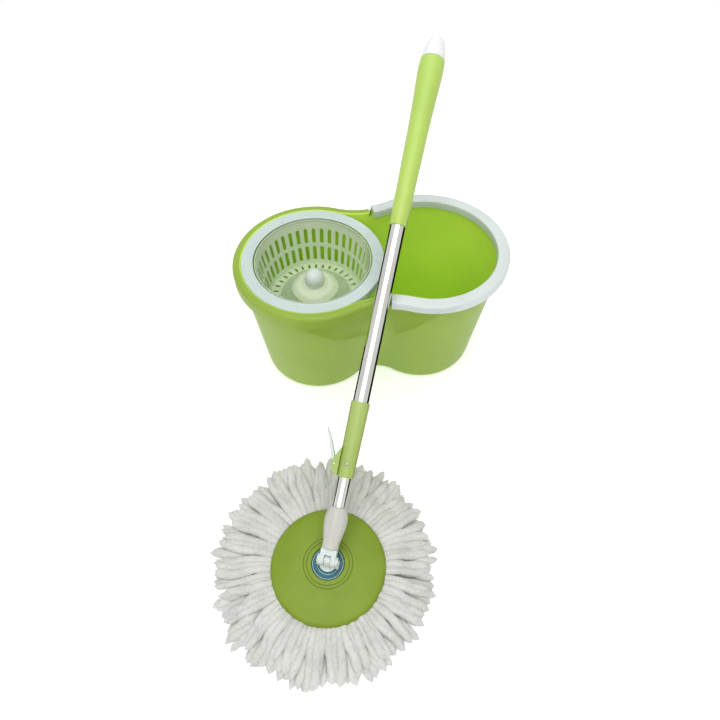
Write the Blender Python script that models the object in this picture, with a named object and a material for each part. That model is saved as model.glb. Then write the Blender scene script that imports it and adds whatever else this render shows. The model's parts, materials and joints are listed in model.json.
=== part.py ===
"""Spin mop with its figure-eight bucket: one object for each piece, in metres, +Z up.

The frame's origin lies on the floor under the middle of the bucket's waist. +X points to the wash
lobe, -X to the spin lobe and -Y to the mop, whose head lies on the floor while its pole leans back
over the waist.
"""

from math import acos, asin, atan2, ceil, cos, hypot, pi, radians, sin, sqrt, tau

import bmesh
import bpy
from mathutils import Matrix, Vector

GAP = 0.0003  # clearance between pieces that touch
OVERLAP = 0.001  # how far joined or cut shapes reach into each other
FINE, MEDIUM, COARSE = 40, 24, 16  # sides of round pieces

# Bucket: lobe radii, waist half-widths and heights
LOBE_X = 0.090
RIM_R = 0.122
RIM_WAIST_IN = 0.0185  # waist half-width is this much less than the lobe radius
RIM_WIDTH = 0.013
RIM_TOP = 0.2235
RIM_PLATE = 0.006
RIM_ROUND = 0.003
SKIRT_DROP, SKIRT_DROP_BAIL = 0.0225, 0.0105  # round the spin lobe, and under the bail
SKIRT_BLEND = (-0.030, 0.016)  # the skirt's edge rises between these x
SKIRT_WALL = 0.0020
WALL = 0.0028
BODY_IN = 0.010  # body's outer skin at its top, inside the rim's edge
BASE_R, BASE_WAIST = RIM_R - 0.028, RIM_R - RIM_WAIST_IN - 0.041
BASE_ROUND = 0.013
FLOOR_THICK = 0.0032
LOBE_POINTS, WAIST_POINTS = 24, 6

# Splash ring and spin basket
RING_INNER_R = RIM_R - RIM_WIDTH - 0.018
RING_THICK = 0.0025
RING_DEPTH = 0.0155
BASKET_RIM_R = RING_INNER_R - 0.0015
BASKET_TOP_R = BASKET_RIM_R - 0.0020
BASKET_FOOT_R = BASKET_TOP_R - 0.0125
BASKET_TOP = RIM_TOP - 0.0015
BASKET_DEPTH = 0.084
BASKET_FOOT_Z = BASKET_TOP - BASKET_DEPTH
BASKET_WALL = 0.0018
BASKET_LIP_DROP = 0.0035
WALL_SLOTS = ((0.81, 0.476), (0.405, 0.071))  # shares of the depth, up from the foot
FLOOR_SLOTS = (0.81, 0.11)  # shares of the flat floor, from its bend out to the foot
CONE_SLOTS = (0.95, 0.20)  # shares of the cone, from its top out to the bend
SLOT_COUNT = 40
FLOOR_BEND_R, FLOOR_BEND_RISE = BASKET_FOOT_R - 0.0145, 0.001
CONE_R, CONE_RISE, CONE_STEP = 0.030, 0.028, 0.004
CONE_Z = BASKET_FOOT_Z + CONE_RISE
STEM_R, STEM_TOP = 0.006, CONE_Z + 0.016
KNOB_R, KNOB_TOP = 0.0155, CONE_Z + 0.029

# Spindle under the basket
POST_BASE_R, POST_TOP_R, POST_TOP = 0.016, 0.009, BASKET_FOOT_Z - 0.038
POST_FOOT = 0.006
PIN_R, PIN_BOTTOM, PIN_TOP = 0.003, POST_TOP - 0.040, POST_TOP + 0.040
WASHER_R, WASHER_THICK = 0.008, 0.0014
BUSH_R, BUSH_TOP = 0.007, POST_TOP + 0.0467
HUB_WALL = 0.0037

# Bail handle and its pivots
BAIL_LIFT = 0.001
BAIL_WALL = 0.0018
BAIL_TOP_WALL = 0.0020
BAIL_GAP_OUT, BAIL_GAP_IN = 0.0012, 0.0012
BAIL_DEPTH = 0.0135
BAIL_ROUND = 0.0012
BAIL_PIVOT_X, BAIL_PIVOT_DROP = 0.020, 0.007
BAIL_END_IN = 0.004
TONGUE_R, TONGUE_WIDTH, TONGUE_REACH = 0.006, 0.006, 0.007
BAIL_PIN_R = 0.002
POCKET_WALL = 0.0025

# Mop head: heights hang on the disc's top
MOP_X, MOP_TO_WAIST = -0.113, 0.3015
MOP_Y = -(RIM_R - RIM_WAIST_IN) - MOP_TO_WAIST
DISC_R, DISC_TOP = 0.080, 0.0475
DISC_DROP, DISC_WALL, DISC_DISH = 0.0160, 0.0022, 0.0013
DISC_BORE_R, HUB_BOSS_R, BOSS_LOW = 0.0098, 0.017, DISC_TOP - 0.0175
BADGE_R, BADGE_THICK = 0.0225, 0.0013
CLIP_IN_R, CLIP_OUT_R = DISC_R - 0.028, DISC_R - 0.008
CLIP_LOW, CLIP_HIGH, CLIP_WALL = DISC_TOP - 0.0230, DISC_TOP - 0.0160, 0.002
STRAND_R, STRAND_HOLE_R = DISC_R + 0.081, CLIP_IN_R - 0.006
HUB_FLANGE_R, HUB_FLANGE, HUB_STEM_R, HUB_BOTTOM = 0.012, 0.0025, 0.0095, DISC_TOP - 0.0260
LUG_WIDTH, LUG_R = 0.0084, 0.006
RETAINER_R, RETAINER_THICK = 0.015, 0.0022

# Pole: the tilt pivot and the stations along the pole, measured from that pivot
PIVOT_Z = DISC_TOP + 0.0145
POLE_TURN, POLE_OVER_RIM = radians(21.0), 0.0227  # the axis passes this far over the front of the waist
POLE_RISE = atan2((RIM_TOP + POLE_OVER_RIM - PIVOT_Z) * cos(POLE_TURN), MOP_TO_WAIST)
FORK_EAR, FORK_EAR_R, FORK_NECK, FORK_FLARE = 0.006, 0.0075, 0.016, 0.0005
FORK_BOSS, FORK_PIN_R = 0.0035, 0.0025
FORK_STEM_R, FORK_STEM_TOP = 0.006, 0.040
KNUCKLE_TOP = 0.072
LOWER_R, LOWER_FROM = 0.0085, 0.0446
UPPER_R, UPPER_FROM, UPPER_TO = LOWER_R + 0.0025, 0.150, 0.712
LOWER_TO = UPPER_TO - 0.092
TUBE_WALL = 0.001
COLLAR_FROM, COLLAR_TO, COLLAR_LIP = 0.112, 0.216, 0.002
CLAMP_BUSH_R = UPPER_R - 0.0006
GRIP_TO = UPPER_TO + 0.007
GRIP_FROM = GRIP_TO - 0.251
CAP_TO = GRIP_TO + 0.0373

# Lock lever on the collar
LEVER_AT, LEVER_OUT = 0.128, UPPER_R + 0.0065
LEVER_LENGTH, LEVER_WIDTH, LEVER_THICK, LEVER_HUB_R = 0.050, 0.012, 0.003, 0.004
LEVER_OPEN = radians(22)
LEVER_PIN_R = 0.0015
EAR_THICK, EAR_BEYOND = 0.0026, 0.0045
SCREW_AT, SCREW_R, SCREW_HEAD_R = 0.131, 0.0015, 0.0024

# Spin drive inside the pole
BAR_WIDTH, BAR_THICK, BAR_LEAD = 0.0060, 0.0020, 0.100
BAR_STEPS = 10  # per turn
BAR_FROM, BAR_TO = UPPER_FROM + 0.002, UPPER_TO - 0.010
NUT_FROM, NUT_THICK = LOWER_TO - 0.008, 0.006
NUT_SLOT_CLEAR = 0.0007
SEAT_THICK = 0.0085
GUIDE_FROM, GUIDE_TO = LOWER_TO - 0.030, LOWER_TO + 0.003
ANCHOR_FROM = BAR_TO - 0.012


# ---------------------------------------------------------------- materials and objects

def material(name, colour, roughness, metallic=0.0, alpha=1.0):
    """A Principled material of one colour."""
    made = bpy.data.materials.get(name) or bpy.data.materials.new(name)
    made.use_nodes = True
    shader = made.node_tree.nodes["Principled BSDF"]
    shader.inputs["Base Color"].default_value = (*colour, 1.0)
    shader.inputs["Roughness"].default_value = roughness
    shader.inputs["Metallic"].default_value = metallic
    shader.inputs["Alpha"].default_value = alpha
    return made


def add_object(name, bm, finish, parent=None, smooth=40):
    """Turns a bmesh into a named object under a parent, with its faces pointing out."""
    bmesh.ops.remove_doubles(bm, verts=bm.verts, dist=1e-6)
    bmesh.ops.recalc_face_normals(bm, faces=bm.faces)
    mesh = bpy.data.meshes.new(name)
    bm.to_mesh(mesh)
    bm.free()
    mesh.shade_smooth()
    mesh.set_sharp_from_angle(angle=radians(smooth))
    mesh.materials.append(finish)
    made = bpy.data.objects.new(name, mesh)
    bpy.context.scene.collection.objects.link(made)
    made.parent = parent
    return made


def add_axis(name, matrix, parent=None):
    """An empty on a joint's axis, which the pieces of that body hang on."""
    made = bpy.data.objects.new(name, None)
    made.empty_display_size = 0.02
    bpy.context.scene.collection.objects.link(made)
    made.parent = parent
    made.matrix_local = matrix
    return made


def boolean(target, cutter_bm, operation="DIFFERENCE"):
    """Adds an exact Boolean whose other object is hidden and moves with the target's parent."""
    name = f"{target.name}_tool_{len(target.modifiers)}"
    cutter = add_object(name, cutter_bm, target.data.materials[0], target.parent)
    cutter.hide_render = True
    cutter.display_type = "WIRE"
    change = target.modifiers.new(name, "BOOLEAN")
    change.object = cutter
    change.operation = operation
    change.solver = "EXACT"


# ---------------------------------------------------------------- shapes

def lathe(profile, sides=MEDIUM):
    """A closed (radius, height) profile turned about Z; points on the axis close the ends."""
    bm = bmesh.new()
    corners = [bm.verts.new((r, 0.0, z)) for r, z in profile]
    edges = [
        bm.edges.new((a, b))
        for a, b in zip(corners, corners[1:] + corners[:1])
        if a.co.x > 0 or b.co.x > 0
    ]
    bmesh.ops.spin(bm, geom=corners + edges, cent=(0, 0, 0), axis=(0, 0, 1), angle=tau,
                   steps=sides, use_merge=True, use_duplicate=False)
    bmesh.ops.remove_doubles(bm, verts=bm.verts, dist=1e-6)
    return bm


def tube(inner, outer, low, high, sides=MEDIUM):
    """A straight sleeve about Z."""
    return lathe([(inner, low), (outer, low), (outer, high), (inner, high)], sides)


def rod(radius, low, high, sides=COARSE):
    """A straight pin about Z."""
    return lathe([(0, low), (radius, low), (radius, high), (0, high)], sides)


def box(low, high):
    """A box between two corners."""
    bm = bmesh.new()
    size = Vector(high) - Vector(low)
    middle = (Vector(high) + Vector(low)) / 2
    bmesh.ops.create_cube(bm, size=1.0, matrix=Matrix.Translation(middle) @ Matrix.Diagonal((*size, 1.0)))
    return bm


def plate(outline, low, high):
    """An outline of (x, z) points given a thickness along Y, from low to high."""
    bm = bmesh.new()
    face = bm.faces.new([bm.verts.new((x, low, z)) for x, z in outline])
    pushed = bmesh.ops.extrude_face_region(bm, geom=[face])
    moved = [item for item in pushed["geom"] if isinstance(item, bmesh.types.BMVert)]
    bmesh.ops.translate(bm, verts=moved, vec=(0, high - low, 0))
    return bm


def turned(bm, matrix):
    """The same bmesh, moved by a matrix."""
    bmesh.ops.transform(bm, matrix=matrix, verts=bm.verts)
    return bm


def arc(centre, radius, start, end, steps):
    """Points along an arc in a plane, from one angle to another in radians, both ends included."""
    return [
        (centre[0] + radius * cos(start + (end - start) * i / steps),
         centre[1] + radius * sin(start + (end - start) * i / steps))
        for i in range(steps + 1)
    ]


ALONG_Y = Matrix.Rotation(-pi / 2, 4, "X")  # turns +Z to +Y
ALONG_X = Matrix.Rotation(pi / 2, 4, "Y")  # turns +Z to +X


# ---------------------------------------------------------------- bucket outline

def waist_arc(radius, waist):
    """Radius of the arc that joins the lobes and touches both, and the height of its centre."""
    joined = (LOBE_X**2 + waist**2 - radius**2) / (2 * (radius - waist))
    return joined, waist + joined


def outline(radius, waist):
    """The figure-eight with these lobe radius and waist half-width, counterclockwise."""
    joined, centre_y = waist_arc(radius, waist)
    lean = atan2(centre_y, -LOBE_X)
    right = arc((LOBE_X, 0), radius, -lean, lean, LOBE_POINTS)
    back = arc((0, centre_y), joined, lean - pi, -lean, WAIST_POINTS)
    left = arc((-LOBE_X, 0), radius, pi - lean, pi + lean, LOBE_POINTS)
    front = arc((0, -centre_y), joined, lean, pi - lean, WAIST_POINTS)
    return right + back[1:-1] + left + front[1:-1]


def rim_outline(inset):
    """The rim's outline, moved inwards by inset."""
    return outline(RIM_R - inset, RIM_R - inset - RIM_WAIST_IN)


def rim_y(x, inset):
    """Half-width of the waist at x, at this inset from the rim's outer edge."""
    joined, centre_y = waist_arc(RIM_R - inset, RIM_R - inset - RIM_WAIST_IN)
    return centre_y - sqrt(joined**2 - x**2)


def loft(rings):
    """A closed skin through rings of equal point counts; the first and last are closed by a face."""
    bm = bmesh.new()
    loops = [[bm.verts.new(point) for point in ring] for ring in rings]
    count = len(loops[0])
    for low, high in zip(loops, loops[1:]):
        for i in range(count):
            j = (i + 1) % count
            bm.faces.new((low[i], low[j], high[j], high[i]))
    bm.faces.new(loops[0])
    bm.faces.new(loops[-1])
    return bm


# ---------------------------------------------------------------- bucket

def bail_pivot_z():
    return RIM_TOP - BAIL_PIVOT_DROP


def skirt_bottom(x):
    """Height of the skirt's lower edge: deep round the spin lobe and shallow under the bail."""
    start, end = SKIRT_BLEND
    share = min(1.0, max(0.0, (x - start) / (end - start)))
    return RIM_TOP - SKIRT_DROP + (SKIRT_DROP - SKIRT_DROP_BAIL) * share**2 * (3 - 2 * share)


def bucket_rings():
    """Levels of the bucket's skin: up the outside, over the rim and down the inside."""
    def level(radius, waist, z):
        return [(x, y, z) for x, y in outline(radius, waist)]

    def rim(inset, z):
        return [(x, y, z) for x, y in rim_outline(inset)]

    def hem(inset):
        return [(x, y, skirt_bottom(x)) for x, y in rim_outline(inset)]

    rings = []
    for step in range(4):
        turn = step * pi / 6
        back = BASE_ROUND * (1 - sin(turn))
        rings.append(level(BASE_R - back, BASE_WAIST - back, BASE_ROUND * (1 - cos(turn))))
    under = RIM_TOP - RIM_PLATE
    inner_round = RIM_ROUND * 0.4
    rings += [
        rim(BODY_IN, RIM_TOP - SKIRT_DROP),
        rim(BODY_IN, under),
        rim(SKIRT_WALL, under),
        hem(SKIRT_WALL),
        hem(0.0),
        rim(0.0, RIM_TOP - RIM_ROUND),
        rim(RIM_ROUND * 0.3, RIM_TOP - RIM_ROUND * 0.3),
        rim(RIM_ROUND, RIM_TOP),
        rim(RIM_WIDTH - inner_round, RIM_TOP),
        rim(RIM_WIDTH, RIM_TOP - inner_round),
        rim(BODY_IN + WALL, RIM_TOP - SKIRT_DROP),
    ]
    for step in range(4):
        turn = step * pi / 6
        back = WALL + (BASE_ROUND - WALL) * (1 - cos(turn))
        height = FLOOR_THICK + (BASE_ROUND - WALL) * (1 - sin(turn))
        rings.append(level(BASE_R - back, BASE_WAIST - back, height))
    return rings


def tongue_top():
    """Height of the tongue's top over the bail's pivot, inside the bail's top wall."""
    return BAIL_PIVOT_DROP + BAIL_LIFT + BAIL_TOP_WALL / 2


def swing_notch():
    """Room in the rim for the bail's top as it swings up, left of its pivot."""
    start, end = radians(88), radians(180)
    flange = hypot(BAIL_END_IN, BAIL_PIVOT_DROP + BAIL_LIFT + BAIL_TOP_WALL)
    inner = BAIL_PIVOT_DROP + BAIL_LIFT / 2
    outer = flange + 2 * GAP
    return arc((0, 0), outer, start, end, 10) + arc((0, 0), inner, end, start, 8)


def make_bucket(green, root):
    bucket = add_object("bucket_body", loft(bucket_rings()), green, root)
    pivot_z = bail_pivot_z()
    inner, outer = rim_y(BAIL_PIVOT_X, RIM_WIDTH), rim_y(BAIL_PIVOT_X, 0.0)
    middle = (inner + outer) / 2
    half = TONGUE_WIDTH / 2 + 2 * GAP
    reach = TONGUE_R * sin(pi / 4)
    ahead = hypot(TONGUE_REACH, reach) + 2 * GAP
    behind = hypot(BAIL_END_IN, tongue_top()) + GAP
    low = TONGUE_R + 4 * GAP
    for side in (-1, 1):
        at = Matrix.Translation((BAIL_PIVOT_X, 0, pivot_z))
        if side < 0:
            at = Matrix.Diagonal((1, -1, 1, 1)) @ at
        block = box((-behind - POCKET_WALL, inner + POCKET_WALL, -low - POCKET_WALL),
                    (ahead + POCKET_WALL, outer - SKIRT_WALL / 2, BAIL_PIVOT_DROP / 2))
        boolean(bucket, turned(block, at), "UNION")
        beyond = BAIL_WALL + 2 * BAIL_GAP_OUT
        boolean(bucket, turned(plate(swing_notch(), inner - beyond, outer + beyond), at))
        slot = box((-behind, middle - half, -low), (ahead, middle + half, 3 * BAIL_PIVOT_DROP))
        boolean(bucket, turned(slot, at))
        hole = rod(BAIL_PIN_R + GAP, inner - RIM_WIDTH / 4, outer + RIM_WIDTH / 4, COARSE)
        boolean(bucket, turned(hole, at @ ALONG_Y))
    return bucket


# ---------------------------------------------------------------- bail handle

def bail_profile():
    """The upside-down channel, as (inset from the rim's outer edge, height) points."""
    low, under = RIM_TOP + BAIL_LIFT + BAIL_TOP_WALL - BAIL_DEPTH, RIM_TOP + BAIL_LIFT
    top = under + BAIL_TOP_WALL
    out_in, out_out = -BAIL_GAP_OUT, -BAIL_GAP_OUT - BAIL_WALL
    in_out = RIM_WIDTH + BAIL_GAP_IN
    in_in = in_out + BAIL_WALL
    return [
        (out_out, low), (out_in, low), (out_in, under), (in_out, under), (in_out, low),
        (in_in, low), (in_in, top - BAIL_ROUND), (in_in - BAIL_ROUND, top),
        (out_out + BAIL_ROUND, top), (out_out, top - BAIL_ROUND),
    ]


def bail_path(inset):
    """The channel's run at this inset, from the front pivot round the wash lobe to the back one."""
    radius = RIM_R - inset
    joined, centre_y = waist_arc(radius, radius - RIM_WAIST_IN)
    lean = atan2(centre_y, -LOBE_X)
    middle_joined = waist_arc(RIM_R - RIM_WIDTH / 2, RIM_R - RIM_WIDTH / 2 - RIM_WAIST_IN)[0]
    end = pi - acos((BAIL_PIVOT_X - BAIL_END_IN) / middle_joined)
    front = arc((0, -centre_y), joined, pi - end, pi - lean, 4)
    lobe = arc((LOBE_X, 0), radius, -lean, lean, 2 * LOBE_POINTS)
    back = arc((0, centre_y), joined, lean - pi, end - pi, 4)
    return front[:-1] + lobe + back[1:]


def make_bail(white, axis, pins, steel):
    to_axis = axis.matrix_world.inverted()
    runs = [[(x, y, z) for x, y in bail_path(inset)] for inset, z in bail_profile()]
    rings = [list(ring) for ring in zip(*runs)]
    bail = add_object("bail_handle", turned(loft(rings), to_axis), white, axis)
    pivot_z = bail_pivot_z()
    inner, outer = rim_y(BAIL_PIVOT_X, RIM_WIDTH), rim_y(BAIL_PIVOT_X, 0.0)
    middle = (inner + outer) / 2
    top = tongue_top()
    tongue = arc((0, 0), TONGUE_R, pi, 1.75 * pi, 10)
    tongue += [(TONGUE_REACH, -TONGUE_R * sin(pi / 4)), (TONGUE_REACH, top), (-BAIL_END_IN + GAP, top)]
    for side, place in ((-1, "front"), (1, "back")):
        flip = Matrix.Diagonal((1, side, 1, 1))
        half = TONGUE_WIDTH / 2
        boolean(bail, turned(plate(tongue, middle - half, middle + half), flip), "UNION")
        hole = turned(rod(BAIL_PIN_R + GAP, middle - half - OVERLAP, middle + half + OVERLAP), ALONG_Y)
        boolean(bail, turned(hole, flip))
        pin = turned(rod(BAIL_PIN_R, inner + GAP, outer - GAP), flip @ ALONG_Y)
        made = add_object(f"bail_pin_{place}", pin, steel, pins)
        made.location = (BAIL_PIVOT_X, 0, pivot_z)
    return bail


# ---------------------------------------------------------------- splash ring, spindle and basket

def make_splash_ring(white, root):
    lean = atan2(waist_arc(RIM_R, RIM_R - RIM_WAIST_IN)[1], -LOBE_X)
    outer = (RIM_R - RIM_WIDTH) * cos(lean / LOBE_POINTS) - GAP
    top = RIM_TOP
    profile = [
        (RING_INNER_R, top - RING_THICK), (RING_INNER_R + 0.0008, top - 0.0008),
        (RING_INNER_R + 0.0020, top), (outer - 0.001, top), (outer, top - 0.001),
        (outer, top - RING_DEPTH), (outer - 0.002, top - RING_DEPTH), (outer - 0.002, top - RING_THICK),
    ]
    ring = add_object("splash_ring", lathe(profile, FINE), white, root)
    ring.location.x = -LOBE_X


def make_spindle(plastic, steel, brass, root):
    bore = PIN_R + GAP
    post = [
        (bore, PIN_BOTTOM - GAP), (bore, POST_TOP), (POST_TOP_R, POST_TOP),
        (POST_BASE_R, FLOOR_THICK + 2 * POST_FOOT), (POST_BASE_R + POST_FOOT, FLOOR_THICK + GAP),
        (0, FLOOR_THICK + GAP), (0, PIN_BOTTOM - GAP),
    ]
    pin = [(0, PIN_BOTTOM), (PIN_R, PIN_BOTTOM), (PIN_R, PIN_TOP - PIN_R / 2),
           (PIN_R / 2, PIN_TOP), (0, PIN_TOP)]
    washer_low = POST_TOP + GAP
    washer = tube(bore, WASHER_R, washer_low, washer_low + WASHER_THICK, COARSE)
    pieces = (
        ("spindle_post", lathe(post, COARSE), plastic),
        ("spindle_pin", lathe(pin, COARSE), steel),
        ("thrust_washer", washer, brass),
    )
    for name, bm, finish in pieces:
        add_object(name, bm, finish, root).location.x = -LOBE_X


def basket_section():
    """Levels of the basket from its rim to its middle: (inner point, outer point, kind of opening)."""
    def wall(share, opening):
        r, z = BASKET_FOOT_R + (BASKET_TOP_R - BASKET_FOOT_R) * share, BASKET_FOOT_Z + BASKET_DEPTH * share
        return (r, z), (r + BASKET_WALL, z), opening

    def under(r, z, opening):
        return (r, z), (r, z - BASKET_WALL * 1.25), opening

    def floor(share, opening):
        r = FLOOR_BEND_R + (BASKET_FOOT_R - FLOOR_BEND_R) * share
        return under(r, BASKET_FOOT_Z + FLOOR_BEND_RISE * (1 - share), opening)

    def cone(share, opening):
        r = CONE_R + (FLOOR_BEND_R - CONE_R) * share
        return under(r, CONE_Z - (CONE_RISE - FLOOR_BEND_RISE) * share, opening)

    under_lip = BASKET_TOP - BASKET_LIP_DROP
    levels = [((BASKET_TOP_R, BASKET_TOP), (BASKET_RIM_R, BASKET_TOP), None),
              ((BASKET_TOP_R - GAP, under_lip), (BASKET_RIM_R, under_lip), None)]
    for high, low in WALL_SLOTS:
        levels += [wall(high, "slot"), wall(low, None)]
    corner = (BASKET_FOOT_R, BASKET_FOOT_Z)
    levels.append((corner, (corner[0] + BASKET_WALL, corner[1] - BASKET_WALL / 2), None))
    levels += [floor(FLOOR_SLOTS[0], "slot"), floor(FLOOR_SLOTS[1], None)]
    levels += [cone(CONE_SLOTS[0], "slot"), cone(CONE_SLOTS[1], None)]
    return levels


def make_basket(clear, axis):
    """The wall and the coned floor with their slots, and the hub that turns on the bush."""
    levels = basket_section()
    sectors = 2 * SLOT_COUNT
    bm = bmesh.new()

    def ring(point, stride=1):
        r, z = point
        return [bm.verts.new((r * cos(tau * i / sectors), r * sin(tau * i / sectors), z))
                for i in range(0, sectors, stride)]

    inner = [ring(level[0]) for level in levels]
    outer = [ring(level[1]) for level in levels]
    seat = CONE_Z + CONE_STEP
    stem = [(CONE_R, CONE_Z), (KNOB_R - 4 * GAP, seat), (STEM_R, seat), (STEM_R, STEM_TOP)]
    bore = BUSH_R + GAP
    hub = bore + HUB_WALL
    foot = POST_TOP + WASHER_THICK + 4 * GAP
    under = [(CONE_R, CONE_Z - 2 * BASKET_WALL), (hub, CONE_Z - 3 * CONE_STEP), (hub, foot), (bore, foot),
             (bore, BUSH_TOP + GAP)]
    inner += [ring(point, 2) for point in stem]
    outer += [ring(point, 2) for point in under]

    def opened(level, sector):
        return level < len(levels) and levels[level][2] == "slot" and sector % 2 == 0

    for rings in (inner, outer):
        for level, (upper, lower) in enumerate(zip(rings, rings[1:])):
            stride = len(upper) // len(lower)
            for i in range(len(lower)):
                if not opened(level, i):
                    across = [upper[(i * stride + k) % len(upper)] for k in range(stride + 1)]
                    bm.faces.new(across + [lower[(i + 1) % len(lower)], lower[i]])
        bm.faces.new(rings[-1])
    for i in range(sectors):
        j = (i + 1) % sectors
        bm.faces.new((inner[0][i], inner[0][j], outer[0][j], outer[0][i]))
        for level in range(len(levels)):
            if opened(level, i):
                for a, b in (((level, i), (level, j)), ((level + 1, i), (level + 1, j)),
                             ((level, i), (level + 1, i)), ((level, j), (level + 1, j))):
                    bm.faces.new((inner[a[0]][a[1]], inner[b[0]][b[1]],
                                  outer[b[0]][b[1]], outer[a[0]][a[1]]))
    add_object("spin_basket", bm, clear, axis)


def make_knob(white, axis):
    """The ball over the cone, flat below where it sits."""
    middle, low = KNOB_TOP - KNOB_R, CONE_Z + CONE_STEP + GAP
    socket = STEM_R + GAP
    ball = arc((0, middle), KNOB_R, -asin((middle - low) / KNOB_R), pi / 2, 8)
    profile = [(0, STEM_TOP + GAP), (socket, STEM_TOP + GAP), (socket, low)] + ball[:-1] + [(0, KNOB_TOP)]
    add_object("basket_knob", lathe(profile), white, axis)


def make_basket_bush(brass, axis):
    low = POST_TOP + WASHER_THICK + 2 * GAP
    add_object("basket_bush", tube(PIN_R + GAP, BUSH_R, low, BUSH_TOP, COARSE), brass, axis)


# ---------------------------------------------------------------- mop head

def badge_seat():
    """Height of the recess in the disc that the badge lies in."""
    return DISC_TOP - DISC_DISH - BADGE_THICK


def make_mop_disc(green, axis):
    """The domed disc: (radius, drop below its top) outside and inside, with a boss round the hub's stem."""
    floor_z = badge_seat() - GAP
    recess, edge = BADGE_R + GAP, DISC_TOP - DISC_DROP
    dome = [(DISC_R * 0.44, 0.0), (DISC_R * 0.625, 0.0013), (DISC_R * 0.825, 0.0040),
            (DISC_R * 0.93, 0.0068), (DISC_R, 0.0135)]
    inside = [(DISC_R * 0.91, 0.0095), (DISC_R * 0.625, 0.0040)]
    profile = [(DISC_BORE_R, floor_z), (recess, floor_z), (recess, DISC_TOP)]
    profile += [(r, DISC_TOP - drop) for r, drop in dome] + [(DISC_R, edge), (DISC_R - DISC_WALL, edge)]
    profile += [(r, DISC_TOP - drop) for r, drop in inside]
    profile += [(HUB_BOSS_R, floor_z - DISC_WALL), (HUB_BOSS_R, BOSS_LOW), (DISC_BORE_R, BOSS_LOW)]
    add_object("mop_disc", lathe(profile, FINE), green, axis)


def make_head_trim(teal, white, cloth, axis):
    """The badge, the clip ring that holds the strands' roots, and the strands as one solid."""
    low, high, bore = badge_seat(), badge_seat() + BADGE_THICK, HUB_STEM_R + GAP
    badge = [(bore, low), (BADGE_R, low), (BADGE_R, high - GAP), (BADGE_R - 2 * GAP, high), (bore, high)]
    add_object("disc_badge", lathe(badge), teal, axis)
    floor = CLIP_LOW + CLIP_WALL
    clip = [(CLIP_IN_R, CLIP_LOW), (CLIP_OUT_R, CLIP_LOW), (CLIP_OUT_R, CLIP_HIGH),
            (CLIP_OUT_R - CLIP_WALL, CLIP_HIGH), (CLIP_OUT_R - CLIP_WALL, floor),
            (CLIP_IN_R + CLIP_WALL, floor), (CLIP_IN_R + CLIP_WALL, CLIP_HIGH), (CLIP_IN_R, CLIP_HIGH)]
    add_object("strand_clip_ring", lathe(clip, FINE), white, axis)
    root, crest = CLIP_LOW - GAP, DISC_TOP - 0.0165
    reach = STRAND_R - DISC_R
    slope = [(0.97, 0.355), (0.87, 0.50), (0.667, 0.694), (0.436, 0.887), (0.23, 1.0), (0.103, 0.968)]
    puff = [(STRAND_HOLE_R + 0.004, 0.0), (STRAND_R - 0.008, 0.0), (STRAND_R, crest / 6)]
    puff += [(DISC_R + reach * out, crest * up) for out, up in slope]
    puff += [(DISC_R, crest - 0.0048), (CLIP_OUT_R + 0.001, root), (STRAND_HOLE_R, root),
             (STRAND_HOLE_R, 0.004)]
    add_object("mop_strands", lathe(puff, FINE), cloth, axis)


def make_hub(white, steel, axis):
    """The swivel hub that the disc turns on, with the lug that the fork straddles."""
    flange_low = badge_seat() + BADGE_THICK + GAP
    flange_top = flange_low + HUB_FLANGE
    ease = HUB_FLANGE / 3
    profile = [
        (0, HUB_BOTTOM), (HUB_STEM_R - ease, HUB_BOTTOM), (HUB_STEM_R, HUB_BOTTOM + ease),
        (HUB_STEM_R, flange_low), (HUB_FLANGE_R, flange_low),
        (HUB_FLANGE_R, flange_top - ease), (HUB_FLANGE_R - ease, flange_top), (0, flange_top),
    ]
    hub = add_object("swivel_hub", lathe(profile), white, axis)
    side = [(-LUG_R, flange_top - ease), (LUG_R, flange_top - ease)]
    side += arc((0, PIVOT_Z), LUG_R, 0, pi, 10)
    turn = Matrix.Rotation(pi / 2 - POLE_TURN, 4, "Z")
    boolean(hub, turned(plate(side, -LUG_WIDTH / 2, LUG_WIDTH / 2), turn), "UNION")
    across = turn @ Matrix.Translation((0, 0, PIVOT_Z)) @ ALONG_Y
    hole = turned(rod(FORK_PIN_R + GAP, -LUG_WIDTH, LUG_WIDTH), across)
    boolean(hub, hole)
    high = BOSS_LOW - GAP
    ring = tube(HUB_STEM_R + GAP, RETAINER_R, high - RETAINER_THICK, high)
    add_object("hub_retainer", ring, steel, axis)


# ---------------------------------------------------------------- pole

def pole_matrix():
    """The pole's frame at the tilt pivot: X along the tilt axis and Z up the pole."""
    up_pole = Vector((sin(POLE_TURN) * cos(POLE_RISE), cos(POLE_TURN) * cos(POLE_RISE), sin(POLE_RISE)))
    across = Vector((cos(POLE_TURN), -sin(POLE_TURN), 0))
    under = up_pole.cross(across)
    turn = Matrix((across, under, up_pole)).transposed().to_4x4()
    return Matrix.Translation((MOP_X, MOP_Y, PIVOT_Z)) @ turn


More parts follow.
